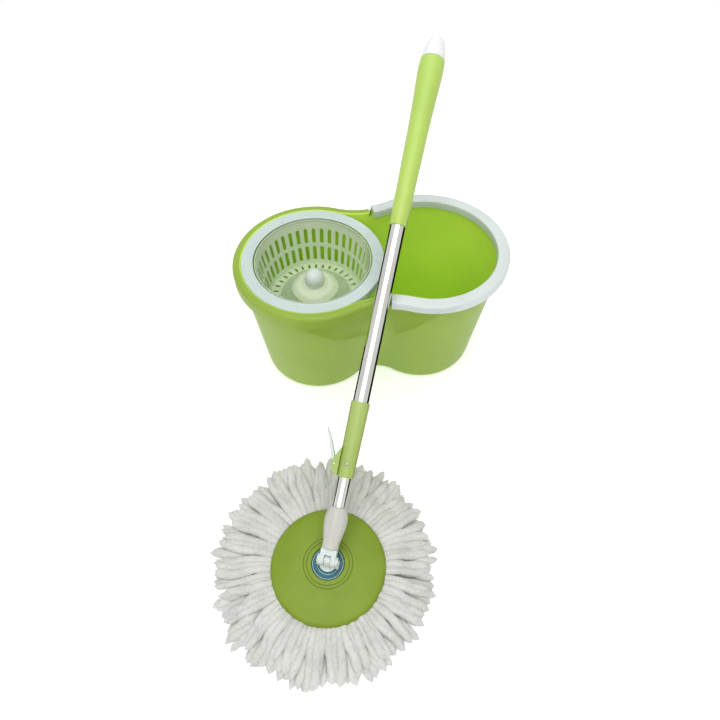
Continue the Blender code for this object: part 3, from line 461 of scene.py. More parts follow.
class Maker:
    """Builds meshes with bmesh operators and turns them into pieces that ride on their bodies."""

    @staticmethod
    def turned(profile: Sequence[Point], steps: int = ROUND_STEPS, closed: bool = True) -> BMesh:
        """Turns a (radius, height) profile about Z.

        Args:
            profile: The profile's points; those on the axis close an end.
            steps: Sides of the round.
            closed: Whether the profile's last point joins its first.

        Returns:
            The turned shape.
        """
        bm = bmesh.new()
        corners = [bm.verts.new((r, 0.0, z)) for r, z in profile]
        pairs = list(zip(corners, corners[1:]))
        if closed and (corners[0].co.x > 0 or corners[-1].co.x > 0):
            pairs.append((corners[-1], corners[0]))
        edges = [bm.edges.new(pair) for pair in pairs]
        bmesh.ops.spin(bm, geom=corners + edges, cent=(0, 0, 0), axis=(0, 0, 1), angle=tau,
                       steps=steps, use_merge=True, use_duplicate=False)
        bmesh.ops.remove_doubles(bm, verts=bm.verts, dist=1e-6)
        bmesh.ops.recalc_face_normals(bm, faces=bm.faces)
        return bm

    @classmethod
    def rod(cls, radius: float, low: float, high: float, steps: int = 24) -> BMesh:
        """Makes a plain round bar about Z, from low to high."""
        return cls.turned([(0, low), (radius, low), (radius, high), (0, high)], steps)

    @staticmethod
    def plate(outline: Sequence[Point], low: float, high: float) -> BMesh:
        """Gives an outline of (x, z) points a thickness along Y, from low to high."""
        bm = bmesh.new()
        face = bm.faces.new([bm.verts.new((x, low, z)) for x, z in outline])
        pushed = bmesh.ops.extrude_face_region(bm, geom=[face])
        moved = [item for item in pushed["geom"] if isinstance(item, bmesh.types.BMVert)]
        bmesh.ops.translate(bm, verts=moved, vec=(0, high - low, 0))
        bmesh.ops.recalc_face_normals(bm, faces=bm.faces)
        return bm

    @staticmethod
    def block(low: Sequence[float], high: Sequence[float]) -> BMesh:
        """Makes a block between two corners."""
        bm = bmesh.new()
        size, middle = Vector(high) - Vector(low), (Vector(high) + Vector(low)) / 2
        placed = Matrix.Translation(middle) @ Matrix.Diagonal((*size, 1.0))
        bmesh.ops.create_cube(bm, size=1.0, matrix=placed)
        return bm

    @staticmethod
    def wrapped(loops: Sequence[Sequence[Sequence[float]]]) -> BMesh:
        """Wraps a grid over a run of closed loops that all have the same number of points.

        Args:
            loops: Each loop's points; the first and last loops are filled.

        Returns:
            The closed shape.
        """
        bm = bmesh.new()
        around = len(loops[0])
        bmesh.ops.create_grid(bm, x_segments=around, y_segments=len(loops) - 1, size=1.0)
        bm.verts.ensure_lookup_table()
        for row, loop in enumerate(loops):
            for column in range(around + 1):
                bm.verts[row * (around + 1) + column].co = loop[column % around]
        bmesh.ops.remove_doubles(bm, verts=bm.verts, dist=1e-7)
        bmesh.ops.holes_fill(bm, edges=[edge for edge in bm.edges if edge.is_boundary], sides=0)
        bmesh.ops.recalc_face_normals(bm, faces=bm.faces)
        return bm

    @staticmethod
    def moved(bm: BMesh, matrix: Matrix) -> BMesh:
        """Moves a shape by a matrix and keeps its faces pointing out."""
        bmesh.ops.transform(bm, matrix=matrix, verts=bm.verts)
        if matrix.determinant() < 0:
            bmesh.ops.reverse_faces(bm, faces=bm.faces)
        return bm

    @staticmethod
    def thing(name: str, bm: BMesh, sharp: float = 35.0) -> Piece:
        """Turns a shape into an object at the origin, smooth but for its sharp edges."""
        mesh = bpy.data.meshes.new(name)
        bm.to_mesh(mesh)
        bm.free()
        made = bpy.data.objects.new(name, mesh)
        bpy.context.scene.collection.objects.link(made)
        Maker.smooth(made, sharp)
        return made

    @staticmethod
    def smooth(piece: Piece, sharp: float = 35.0) -> None:
        """Shades a piece smooth but for edges that turn by more than this many degrees."""
        piece.data.shade_smooth()
        piece.data.set_sharp_from_angle(angle=radians(sharp))

    @classmethod
    def cut(cls, target: Piece, tool: BMesh, operation: str = "DIFFERENCE") -> None:
        """Cuts a tool from a piece, or joins it, and applies the result.

        Args:
            target: The piece that changes.
            tool: The other shape; it is used up.
            operation: A Boolean operation's name.
        """
        cutter = cls.thing("cutter", tool)
        change = target.modifiers.new("cut", "BOOLEAN")
        change.object = cutter
        change.operation = operation
        change.solver = "EXACT"
        cls.apply(target)
        bpy.data.objects.remove(cutter, do_unlink=True)

    @staticmethod
    def apply(target: Piece) -> None:
        """Replaces a piece's mesh by what its modifiers make of it."""
        bpy.context.view_layer.update()
        graph = bpy.context.evaluated_depsgraph_get()
        mesh = bpy.data.meshes.new_from_object(target.evaluated_get(graph))
        old = target.data
        target.modifiers.clear()
        target.data = mesh
        bpy.data.meshes.remove(old)

    @staticmethod
    def eased(target: Piece, width: float, segments: int = 2, angle: float = 40.0) -> None:
        """Rounds a piece's sharp edges with a live bevel."""
        bevel = target.modifiers.new("eased", "BEVEL")
        bevel.width = width
        bevel.segments = segments
        bevel.limit_method = "ANGLE"
        bevel.angle_limit = radians(angle)
        bevel.harden_normals = False

    @staticmethod
    def dress(piece: Piece, body: Body, finish: Finish, *nodes: str) -> Piece:
        """Gives a piece its material and its body, and hides the CAD nodes it stands for.

        Args:
            piece: The finished piece.
            body: The body it rides on.
            finish: Its material and slot.
            *nodes: The CAD nodes it replaces.

        Returns:
            The same piece.
        """
        piece.data.materials.clear()
        piece.data.materials.append(finish.material)
        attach(piece, body.value)
        if nodes:
            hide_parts(*nodes)
        LOG.info("%s: %d faces, on %s", piece.name, len(piece.data.polygons), body.value)
        return piece


ALONG_X = Matrix.Rotation(pi / 2, 4, "Y")
ALONG_Y = Matrix.Rotation(-pi / 2, 4, "X")


def joint(name: str) -> dict:
    """Returns the frame's joint of this name."""
    return next(entry for entry in frame["joints"] if entry["name"] == name)


# ---------------------------------------------------------------- finishes of this mop


class Finishes:
    """Every finish of the mop, made once."""

    def __init__(self, pole: Matrix, badge: RingedBadge) -> None:
        """Makes the materials.

        Args:
            pole: The pole's frame, which its drawn lines follow.
            badge: The disc's badge.
        """
        self.bucket = MouldedPlastic("bucket_green", Slot.GREEN, (150, 179, 66), (143, 172, 60),
                                     roughness=0.42, gloss=0.3, glow=0.2).make()
        # A brighter, more saturated copy of the bucket green for the inner walls and floor: painted light
        # standing in for the light that fills the well.
        self.painted_light_well = MouldedPlastic("bucket_green_inside_painted_light", Slot.GREEN, (212, 244, 94), (204, 236, 88),
                                   gloss=0.2, glow=0.3).make()
        # The disc's green is darker along its two grooves: painted shade.
        self.disc = MouldedPlastic("disc_green", Slot.GREEN, (134, 158, 48), (127, 150, 44), roughness=0.42,
                                   flow=22.0, gloss=0.25, rings=GROOVE_RADII, centre=badge.centre).make()
        self.post = MouldedPlastic("post_green", Slot.GREEN, (146, 184, 74), (138, 175, 66),
                                   roughness=0.42).make()
        self.collar = MouldedPlastic("collar_green", Slot.GRIP, (172, 194, 104), (162, 185, 94),
                                     roughness=0.30, flow=16.0, shine=0.2, glow=0.08).make()
        self.grip = MouldedPlastic("grip_green", Slot.GRIP, (184, 214, 102), (177, 207, 96),
                                   roughness=0.36, flow=16.0, shine=0.12, glow=0.10).make()
        self.white = MouldedPlastic("satin_white", Slot.WHITE, (219, 228, 224), (211, 221, 216),
                                    roughness=0.32, glow=0.12).make()
        self.joint = MouldedPlastic("joint_white", Slot.WHITE, (208, 207, 199), (198, 197, 188),
                                    glow=0.12).make()
        self.cap = MouldedPlastic("cap_white", Slot.WHITE, (246, 247, 246), (238, 240, 238),
                                  roughness=0.28, glow=0.25).make()
        self.ring = MouldedPlastic("ring_white", Slot.WHITE, (202, 216, 212), (194, 210, 204),
                                   roughness=0.30, glow=0.18).make()
        self.nylon = MouldedPlastic("grey_nylon", Slot.NYLON, (190, 192, 188), (176, 178, 174),
                                    roughness=0.5).make()
        self.frosted = FrostedPlastic("frosted", Slot.FROSTED, (226, 243, 208), (218, 237, 198)).make()
        self.tube = DrawnSteel("polished_tube", Slot.TUBE, (226, 225, 219), (208, 207, 201), 0.075,
                               turn=pole.to_3x3(), centre=tuple(pole.translation)).make()
        self.steel = DrawnSteel("pin_steel_drawn", Slot.STEEL, (176, 176, 174), (150, 150, 148), 0.26).make()
        self.brass = DrawnSteel("turned_brass", Slot.BRASS, (206, 170, 96), (176, 140, 72), 0.28).make()
        self.cloth = Microfibre("microfibre_loops", Slot.CLOTH, (228, 228, 224), (208, 208, 204)).make()
        self.badge = badge.make()


# ---------------------------------------------------------------- bucket


@dataclass(frozen=True)
class RimPlan:
    """The figure-eight outline that the bucket, its rim and the bail share."""

    lobe_x: float = 0.090
    radius: float = 0.122
    pinch: float = 0.0185
    width: float = 0.013
    lobe_steps: int = 84
    waist_steps: int = 22

    @property
    def top(self) -> float:
        """Height of the rim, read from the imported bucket."""
        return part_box("bucket_body")[1].z

    def joined(self, radius: float, waist: float) -> Point:
        """Returns the radius of the arc that joins the lobes, and its centre's distance from the middle."""
        between = (self.lobe_x**2 + waist**2 - radius**2) / (2 * (radius - waist))
        return between, waist + between

    def outline(self, radius: float, waist: float) -> list[Point]:
        """Returns the figure-eight with this lobe radius and waist half-width, counterclockwise."""
        between, centre = self.joined(radius, waist)
        lean = atan2(centre, -self.lobe_x)
        right = arc((self.lobe_x, 0), radius, -lean, lean, self.lobe_steps)
        back = arc((0, centre), between, lean - pi, -lean, self.waist_steps)
        left = arc((-self.lobe_x, 0), radius, pi - lean, pi + lean, self.lobe_steps)
        front = arc((0, -centre), between, lean, pi - lean, self.waist_steps)
        return right + back[1:-1] + left + front[1:-1]

    def rim(self, inset: float) -> list[Point]:
        """Returns the rim's outline moved inwards by inset."""
        return self.outline(self.radius - inset, self.radius - inset - self.pinch)

    def half_width(self, x: float, inset: float) -> float:
        """Returns the waist's half-width at x, at this inset from the rim's outer edge."""
        between, centre = self.joined(self.radius - inset, self.radius - inset - self.pinch)
        return centre - sqrt(between**2 - x**2)


@dataclass
class Bucket:
    """The moulded bucket: two lobes, a rolled rim with its skirt, and pockets for the bail's pivots."""

    plan: RimPlan
    finishes: Finishes
    base_radius: float = 0.094
    base_waist: float = 0.0625
    base_round: float = 0.013
    body_inset: float = 0.010
    wall: float = 0.0028
    floor: float = 0.0032
    foot_step: float = 0.0015
    skirt_wall: float = 0.0020
    skirt_low: float = 0.201
    skirt_high: float = 0.2120
    plate: float = 0.006
    crown: float = 0.0048
    pivot_x: float = 0.020
    pivot_drop: float = 0.007
    corner_steps: int = 6
    inner_round: float = 0.0016
    tongue_room: float = 0.0036
    pin_hole: float = 0.0023

    def skirt_bottom(self, x: float) -> float:
        """Returns the skirt's lower edge at x: deep round the spin lobe, shallow under the bail."""
        share = min(1.0, max(0.0, (x + 0.030) / 0.046))
        return self.skirt_low + (self.skirt_high - self.skirt_low) * share * share * (3 - 2 * share)

    def level(self, radius: float, waist: float, z: float) -> list[Sequence[float]]:
        """Returns one ring of the body at a height."""
        return [(x, y, z) for x, y in self.plan.outline(radius, waist)]

    def edge(self, inset: float, z: float) -> list[Sequence[float]]:
        """Returns one ring of the rim at a height."""
        return [(x, y, z) for x, y in self.plan.rim(inset)]

    def hem(self, inset: float, rise: float) -> list[Sequence[float]]:
        """Returns one ring along the skirt's lower edge, raised by rise."""
        return [(x, y, self.skirt_bottom(x) + rise) for x, y in self.plan.rim(inset)]

    def rings(self) -> list[list[Sequence[float]]]:
        """Returns the rings of the whole skin, from under the base over the rim to the floor inside."""
        top, steps = self.plan.top, self.corner_steps
        foot_in = self.base_round + 0.006
        rings = [
            self.level(self.base_radius - foot_in - 0.003, self.base_waist - foot_in - 0.003, self.foot_step),
            self.level(self.base_radius - foot_in, self.base_waist - foot_in, self.foot_step - 0.0003),
            self.level(self.base_radius - foot_in + 0.0015, self.base_waist - foot_in + 0.0015, 0.0),
        ]
        for i in range(steps + 1):
            turn = i / steps * pi / 2
            back = self.base_round * (1 - sin(turn))
            rings.append(self.level(self.base_radius - back, self.base_waist - back,
                                    self.base_round * (1 - cos(turn))))
        under = top - self.plate
        body_top = self.plan.radius - self.body_inset
        for share in (0.25, 0.5, 0.75):
            rings.append(self.level(
                self.base_radius + (body_top - self.base_radius) * share,
                self.base_waist + (body_top - self.plan.pinch - self.base_waist) * share,
                self.base_round + (self.skirt_low - self.base_round) * share,
            ))
        rings += [
            self.edge(self.body_inset, self.skirt_low),
            self.edge(self.body_inset, under - 0.0015),
            self.edge(self.body_inset - 0.0015, under),
            self.edge(self.skirt_wall + 0.0015, under),
            self.edge(self.skirt_wall, under - 0.0015),
            self.hem(self.skirt_wall, 0.0008),
            self.hem(self.skirt_wall - 0.0006, 0.0),
            self.hem(0.0007, 0.0),
            self.hem(0.0, 0.0010),
        ]
        for i in range(steps + 1):
            turn = i / steps * pi / 2
            rings.append(self.edge(self.crown * (1 - cos(turn)), top - self.crown * (1 - sin(turn))))
        for i in range(4):
            turn = i / 3 * pi / 2
            rings.append(self.edge(self.plan.width - self.inner_round * (1 - sin(turn)),
                                   top - self.inner_round * (1 - cos(turn))))
        rings.append(self.edge(self.body_inset + self.wall + 0.0002, self.skirt_low))
        inside = self.base_round - self.wall
        for i in range(steps + 1):
            turn = i / steps * pi / 2
            back = self.wall + inside * (1 - cos(turn))
            rings.append(self.level(self.base_radius - back, self.base_waist - back,
                                    self.floor + inside * (1 - sin(turn))))
        return rings

    def notch(self) -> list[Point]:
        """Returns the outline of the room that the bail's end swings through."""
        far, near = hypot(0.004, self.pivot_drop + 0.003) + 0.0006, self.pivot_drop + 0.0005
        return arc((0, 0), far, radians(88), pi, 16) + arc((0, 0), near, pi, radians(88), 12)

    def build(self) -> None:
        """Makes the shell and its pivot pockets, and gives its inside faces a brighter copy of the green as
        painted light.
        """
        shell = Maker.thing("bucket_shell", Maker.wrapped(self.rings()), 32)
        inner = self.plan.half_width(self.pivot_x, self.plan.width)
        outer = self.plan.half_width(self.pivot_x, 0.0)
        middle, half = (inner + outer) / 2, self.tongue_room
        for side in (-1, 1):
            at = Matrix.Diagonal((1, side, 1, 1)) @ Matrix.Translation(
                (self.pivot_x, 0, self.plan.top - self.pivot_drop))
            pocket = Maker.block((-0.0122, inner + 0.0020, -0.0080), (0.0110, outer - 0.0006, 0.004))
            Maker.cut(shell, Maker.moved(pocket, at), "UNION")
            for tool in (
                Maker.plate(self.notch(), inner - 0.004, outer + 0.004),
                Maker.block((-0.0101, middle - half, -0.0070), (0.0088, middle + half, 0.02)),
                Maker.moved(Maker.rod(self.pin_hole, inner - 0.003, outer + 0.003), ALONG_Y),
            ):
                Maker.cut(shell, Maker.moved(tool, at))
        Maker.smooth(shell, 32)
        Maker.dress(shell, Body.BUCKET, self.finishes.bucket, "bucket_body")
        # The inner walls and floor take the brighter green: painted light inside the well.
        shell.data.materials.append(self.finishes.painted_light_well.material)
        for face in shell.data.polygons:
            face.material_index = int(self.is_inside(face.center, face.normal))

    def is_inside(self, centre: Vector, normal: Vector) -> bool:
        """Says whether a face of the shell lines the inside of a lobe or the waist.

        Args:
            centre: The face's middle.
            normal: The way it faces.

        Returns:
            True for the inner walls and the floor.
        """
        inset = self.body_inset + 0.0004
        lobe = Vector((self.plan.lobe_x * (1 if centre.x > 0 else -1), 0.0, 0.0))
        away = Vector((centre.x - lobe.x, centre.y, 0.0))
        held = away.length < self.plan.radius - inset
        if abs(centre.x) < self.plan.lobe_x * 0.6:
            away = Vector((0.0, centre.y, 0.0))
            held = abs(centre.y) < self.plan.half_width(centre.x, inset)
        faces_in = away.dot(normal) < 0 or (normal.z > 0.3 and centre.z < self.base_round)
        return held and faces_in and normal.z > -0.2


@dataclass
class Bail:
    """The carrying handle: a rounded channel that lies over the wash lobe's rim."""

    plan: RimPlan
    finishes: Finishes
    lift: float = 0.001
    wall: float = 0.0018
    top_wall: float = 0.0020
    gap_out: float = 0.0012
    gap_in: float = 0.0012
    depth: float = 0.0135
    shoulder_out: float = 0.0042
    shoulder_in: float = 0.0030
    end_in: float = 0.004
    pivot_x: float = 0.020
    pivot_drop: float = 0.007
    tongue: float = 0.006
    lobe_steps: int = 132

    def profile(self) -> list[Point]:
        """Returns the channel's section as (inset from the rim's edge, height) points."""
        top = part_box("bail_handle")[1].z
        low, under = top - self.depth, top - self.top_wall
        out_in, out_out = -self.gap_out, -self.gap_out - self.wall
        in_out = self.plan.width + self.gap_in
        in_in = in_out + self.wall
        points = [(out_out, low), (out_in, low), (out_in, under), (in_out, under), (in_out, low),
                  (in_in, low), (in_in, top), (out_out, top)]
        radii = [0.0007, 0.0007, 0.0004, 0.0004, 0.0007, 0.0007, self.shoulder_in, self.shoulder_out]
        return rounded(points, radii, 5, closed=True)

    def path(self, inset: float) -> list[Point]:
        """Returns the channel's run at this inset, from the front pivot round the lobe to the back one."""
        radius = self.plan.radius - inset
        between, centre = self.plan.joined(radius, radius - self.plan.pinch)
        lean = atan2(centre, -self.plan.lobe_x)
        middle = self.plan.radius - self.plan.width / 2
        reach = self.plan.joined(middle, middle - self.plan.pinch)[0]
        end = pi - acos((self.pivot_x - self.end_in) / reach)
        front = arc((0, -centre), between, pi - end, pi - lean, 12)
        lobe = arc((self.plan.lobe_x, 0), radius, -lean, lean, self.lobe_steps)
        back = arc((0, centre), between, lean - pi, end - pi, 12)
        return front[:-1] + lobe + back[1:]

    def build(self) -> None:
        """Makes the channel with its pivot tongues, and the two pivot pins."""
        runs = [[(x, y, z) for x, y in self.path(inset)] for inset, z in self.profile()]
        channel = Maker.thing("bail_channel", Maker.wrapped([list(ring) for ring in zip(*runs)]), 38)
        inner = self.plan.half_width(self.pivot_x, self.plan.width)
        outer = self.plan.half_width(self.pivot_x, 0.0)
        middle, pivot_z = (inner + outer) / 2, self.plan.top - self.pivot_drop
        top = self.pivot_drop + self.lift + self.top_wall / 2
        hook = arc((0, 0), self.tongue, pi, 1.75 * pi, 16)
        hook += [(0.007, -self.tongue * sin(pi / 4)), (0.007, top), (-self.end_in + 0.0005, top)]
        for side, place in ((-1, "front"), (1, "back")):
            at = Matrix.Diagonal((1, side, 1, 1)) @ Matrix.Translation((self.pivot_x, 0, pivot_z))
            Maker.cut(channel, Maker.moved(Maker.plate(hook, middle - 0.003, middle + 0.003), at), "UNION")
            ends = [(0, inner + 0.0004), (0.0017, inner + 0.0004), (0.002, inner + 0.0007),
                    (0.002, outer - 0.0007), (0.0017, outer - 0.0004), (0, outer - 0.0004)]
            pin = Maker.thing(f"bail_pivot_{place}", Maker.moved(Maker.turned(ends, 32), at @ ALONG_Y))
            Maker.dress(pin, Body.BUCKET, self.finishes.steel, f"bail_pin_{place}")
        Maker.smooth(channel, 38)
        Maker.eased(channel, 0.0006, 2, 50)
        Maker.dress(channel, Body.BAIL, self.finishes.white, "bail_handle")


# ---------------------------------------------------------------- splash ring and spin basket


@dataclass
class SplashRing:
    """The white ring snapped into the spin lobe round the basket."""

    plan: RimPlan
    finishes: Finishes
    inner: float = 0.091
    thick: float = 0.0025
    depth: float = 0.0155
    wall: float = 0.0020

    def build(self) -> None:
        """Makes the ring."""
        top, outer = self.plan.top, self.plan.radius - self.plan.width - 0.0003
        profile = rounded(
            [(self.inner, top - self.thick), (self.inner, top - 0.0003), (self.inner + 0.0022, top + 0.0002),
             (self.inner + 0.0042, top - 0.0004), (outer - 0.0030, top - 0.0004), (outer, top),
             (outer, top - self.depth), (outer - self.wall, top - self.depth),
             (outer - self.wall, top - self.thick)],
            [0.0005, 0.0008, 0.0012, 0.0012, 0.0012, 0.0008, 0.0006, 0.0006, 0.0012], 4, closed=True)
        centre = Matrix.Translation((-self.plan.lobe_x, 0, 0))
        ring = Maker.thing("splash_collar", Maker.moved(Maker.turned(profile, 160), centre))
        Maker.dress(ring, Body.BUCKET, self.finishes.ring, "splash_ring")


@dataclass(frozen=True)
class SlotRow:
    """One row of slots in the basket: where it lies along the section and how wide its slots are."""

    start: Point
    end: Point
    count: int
    half_angle: float


@dataclass
class Basket:
    """The frosted spin basket with slotted wall and coned floor, its knob and hub."""

    centre_x: float
    finishes: Finishes
    wall: float = 0.0018
    top_radius: float = 0.0875
    foot_radius: float = 0.075
    foot_z: float = 0.138
    bend_radius: float = 0.0605
    bend_z: float = 0.139
    cone_radius: float = 0.030
    cone_z: float = 0.166
    knob_radius: float = 0.0155
    knob_socket: float = 0.0066
    stem_top: float = 0.182
    wall_slots: int = 40
    wall_rows: tuple[Point, Point] = ((0.2070, 0.1775), (0.1735, 0.1440))
    wall_angles: Point = (2.1, 2.3)
    floor_slots: tuple[int, int] = (36, 72)
    floor_rows: tuple[Point, Point] = ((0.0722, 0.0620), (0.0590, 0.0362))
    floor_angles: Point = (1.6, 1.45)
    around: int = 360
    slot_steps: int = 5
    section: list[Point] = field(default_factory=list)

    def wall_radius(self, z: float) -> float:
        """Returns the wall's inner radius at a height."""
        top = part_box("spin_basket")[1].z
        share = (z - self.foot_z) / (top - self.foot_z)
        return self.foot_radius + (self.top_radius - self.foot_radius) * share

    def floor_z(self, radius: float) -> float:
        """Returns the floor's height at a radius: nearly flat outside the bend, and a cone inside it."""
        if radius > self.bend_radius:
            share = (self.foot_radius - radius) / (self.foot_radius - self.bend_radius)
            return self.foot_z + (self.bend_z - self.foot_z) * share
        share = (self.bend_radius - radius) / (self.bend_radius - self.cone_radius)
        return self.bend_z + (self.cone_z - self.bend_z) * share

    def rows(self) -> list[SlotRow]:
        """Returns the four rows of slots, from the rim to the middle."""
        made = []
        for (high, low), angle in zip(self.wall_rows, self.wall_angles):
            made.append(SlotRow((self.wall_radius(high), high), (self.wall_radius(low), low),
                                self.wall_slots, radians(angle)))
        for (far, near), count, angle in zip(self.floor_rows, self.floor_slots, self.floor_angles):
            made.append(SlotRow((far, self.floor_z(far)), (near, self.floor_z(near)), count, radians(angle)))
        return made

    def panel(self, row: SlotRow) -> bpy.types.Mesh:
        """Makes one panel of a row, the stretch of skin round one slot.

        Args:
            row: The row of slots.

        Returns:
            The panel at the first place round the basket.
        """
        bm = bmesh.new()
        across = self.around // row.count
        pitch = tau / row.count
        middle = pitch / 2
        length = hypot(row.end[0] - row.start[0], row.end[1] - row.start[1])
        cap = row.half_angle * (row.start[0] + row.end[0]) / 2 / length
        side = self.slot_steps
        frame_loop, slot_loop = [], []
        for i in range(across):
            frame_loop.append((middle - pitch / 2 + pitch * i / across, 0.0))
            turn = pi - pi * i / across
            slot_loop.append((middle + row.half_angle * cos(turn), cap + 0.03 - cap * sin(turn)))
        for i in range(side):
            frame_loop.append((middle + pitch / 2, i / side))
            slot_loop.append((middle + row.half_angle, cap + 0.03 + (0.94 - 2 * cap) * i / side))
        for i in range(across):
            frame_loop.append((middle + pitch / 2 - pitch * i / across, 1.0))
            turn = pi * i / across
            slot_loop.append((middle + row.half_angle * cos(turn), 0.97 - cap + cap * sin(turn)))
        for i in range(side):
            frame_loop.append((middle - pitch / 2, 1 - i / side))
            slot_loop.append((middle - row.half_angle, 0.97 - cap - (0.94 - 2 * cap) * i / side))
        edges = []
        for loop in (frame_loop, slot_loop):
            corners = []
            for angle, share in loop:
                r = row.start[0] + (row.end[0] - row.start[0]) * share
                z = row.start[1] + (row.end[1] - row.start[1]) * share
                corners.append(bm.verts.new((r * cos(angle), r * sin(angle), z)))
            edges += [bm.edges.new(pair) for pair in zip(corners, corners[1:] + corners[:1])]
        bmesh.ops.bridge_loops(bm, edges=edges)
        mesh = bpy.data.meshes.new("panel")
        bm.to_mesh(mesh)
        bm.free()
        return mesh

    def band(self, bm: BMesh, profile: Sequence[Point]) -> None:
        """Turns a plain stretch of the section into the skin."""
        corners = [bm.verts.new((r, 0.0, z)) for r, z in profile]
        edges = [bm.edges.new(pair) for pair in zip(corners, corners[1:])]
        bmesh.ops.spin(bm, geom=corners + edges, cent=(0, 0, 0), axis=(0, 0, 1), angle=tau,
                       steps=self.around, use_merge=True, use_duplicate=False)

    def skin(self) -> BMesh:
        """Returns the basket's skin with its thickness."""
        bm = bmesh.new()
        rows = self.rows()
        for row in rows:
            panel = self.panel(row)
            for _ in range(row.count):
                bm.from_mesh(panel)
                panel.transform(Matrix.Rotation(tau / row.count, 4, "Z"))
            bpy.data.meshes.remove(panel)
        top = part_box("spin_basket")[1].z
        lip = self.top_radius + self.wall
        self.band(bm, [(lip - 0.0004, top - 0.0034), (lip, top - 0.0026), (lip, top - 0.0010),
                       (lip - 0.0006, top - 0.0002), (lip - 0.0014, top - 0.0004),
                       (self.top_radius, top - 0.0014), (self.wall_radius(top - 0.005), top - 0.005),
                       rows[0].start])
        self.band(bm, [rows[0].end, rows[1].start])
        corner = (self.wall_radius(self.foot_z), self.foot_z - 0.0004)
        self.band(bm, rounded([rows[1].end, corner, rows[2].start], 0.0030, 5))
        self.band(bm, rounded([rows[2].end, (self.bend_radius, self.bend_z), rows[3].start], 0.0010, 3))
        step = self.cone_z + 0.004
        self.band(bm, rounded([rows[3].end, (self.cone_radius, self.cone_z), (0.0232, self.cone_z + 0.0022),
                               (0.0216, self.cone_z + 0.0010), (0.0170, step - 0.0004), (0.0100, step),
                               (0.0062, step), (0.0062, self.stem_top - 0.001)],
                              [0, 0.004, 0.0012, 0.0010, 0.002, 0.001, 0.0005, 0], 4))
        bmesh.ops.remove_doubles(bm, verts=bm.verts, dist=2e-6)
        bmesh.ops.recalc_face_normals(bm, faces=bm.faces)
        on_wall = Vector((0.082, 0, 0.19))
        probe = min(bm.faces, key=lambda face: (face.calc_center_median() - on_wall).length)
        if probe.normal.x > 0:
            bmesh.ops.reverse_faces(bm, faces=bm.faces)
        bmesh.ops.solidify(bm, geom=list(bm.faces), thickness=self.wall)
        return bm

    def build(self) -> None:
        """Makes the basket's skin, knob and hub."""
        centre = Matrix.Translation((self.centre_x, 0, 0))
        skin = Maker.thing("slotted_basket", Maker.moved(self.skin(), centre), 40)
        Maker.dress(skin, Body.BASKET, self.finishes.frosted, "spin_basket")
        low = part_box("spin_basket")[0].z
        hub = rounded([(0.0073, low), (0.0110, low), (0.0110, 0.152), (0.0150, 0.1565), (0.0150, 0.1600),
                       (0.0073, 0.1500)], 0.0012, 3, closed=True)
        sleeve = Maker.thing("basket_hub", Maker.moved(Maker.turned(hub, 48), centre))
        Maker.dress(sleeve, Body.BASKET, self.finishes.frosted)
        self.build_knob(centre)

    def build_knob(self, centre: Matrix) -> None:
        """Makes the ball knob on its flared foot."""
        low, top = (corner.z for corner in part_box("basket_knob"))
        ball = arc((0, top - self.knob_radius), self.knob_radius, -0.40, pi / 2 - 0.24, 22)
        profile = [(0, self.stem_top + 0.0004), (self.knob_socket, self.stem_top + 0.0004),
                   (self.knob_socket, low)]
        profile += rounded([(0.0142, low), (0.0150, low + 0.0009), (0.0142, low + 0.0018),
                            (0.0138, low + 0.0024)], 0.0006, 3)
        profile += ball + [(0.0038, top - 0.0007), (0.0030, top - 0.0010), (0, top - 0.0011)]
        knob = Maker.thing("ball_knob", Maker.moved(Maker.turned(profile, 72), centre), 45)
        Maker.dress(knob, Body.BASKET, self.finishes.white, "basket_knob")


# ---------------------------------------------------------------- mop head


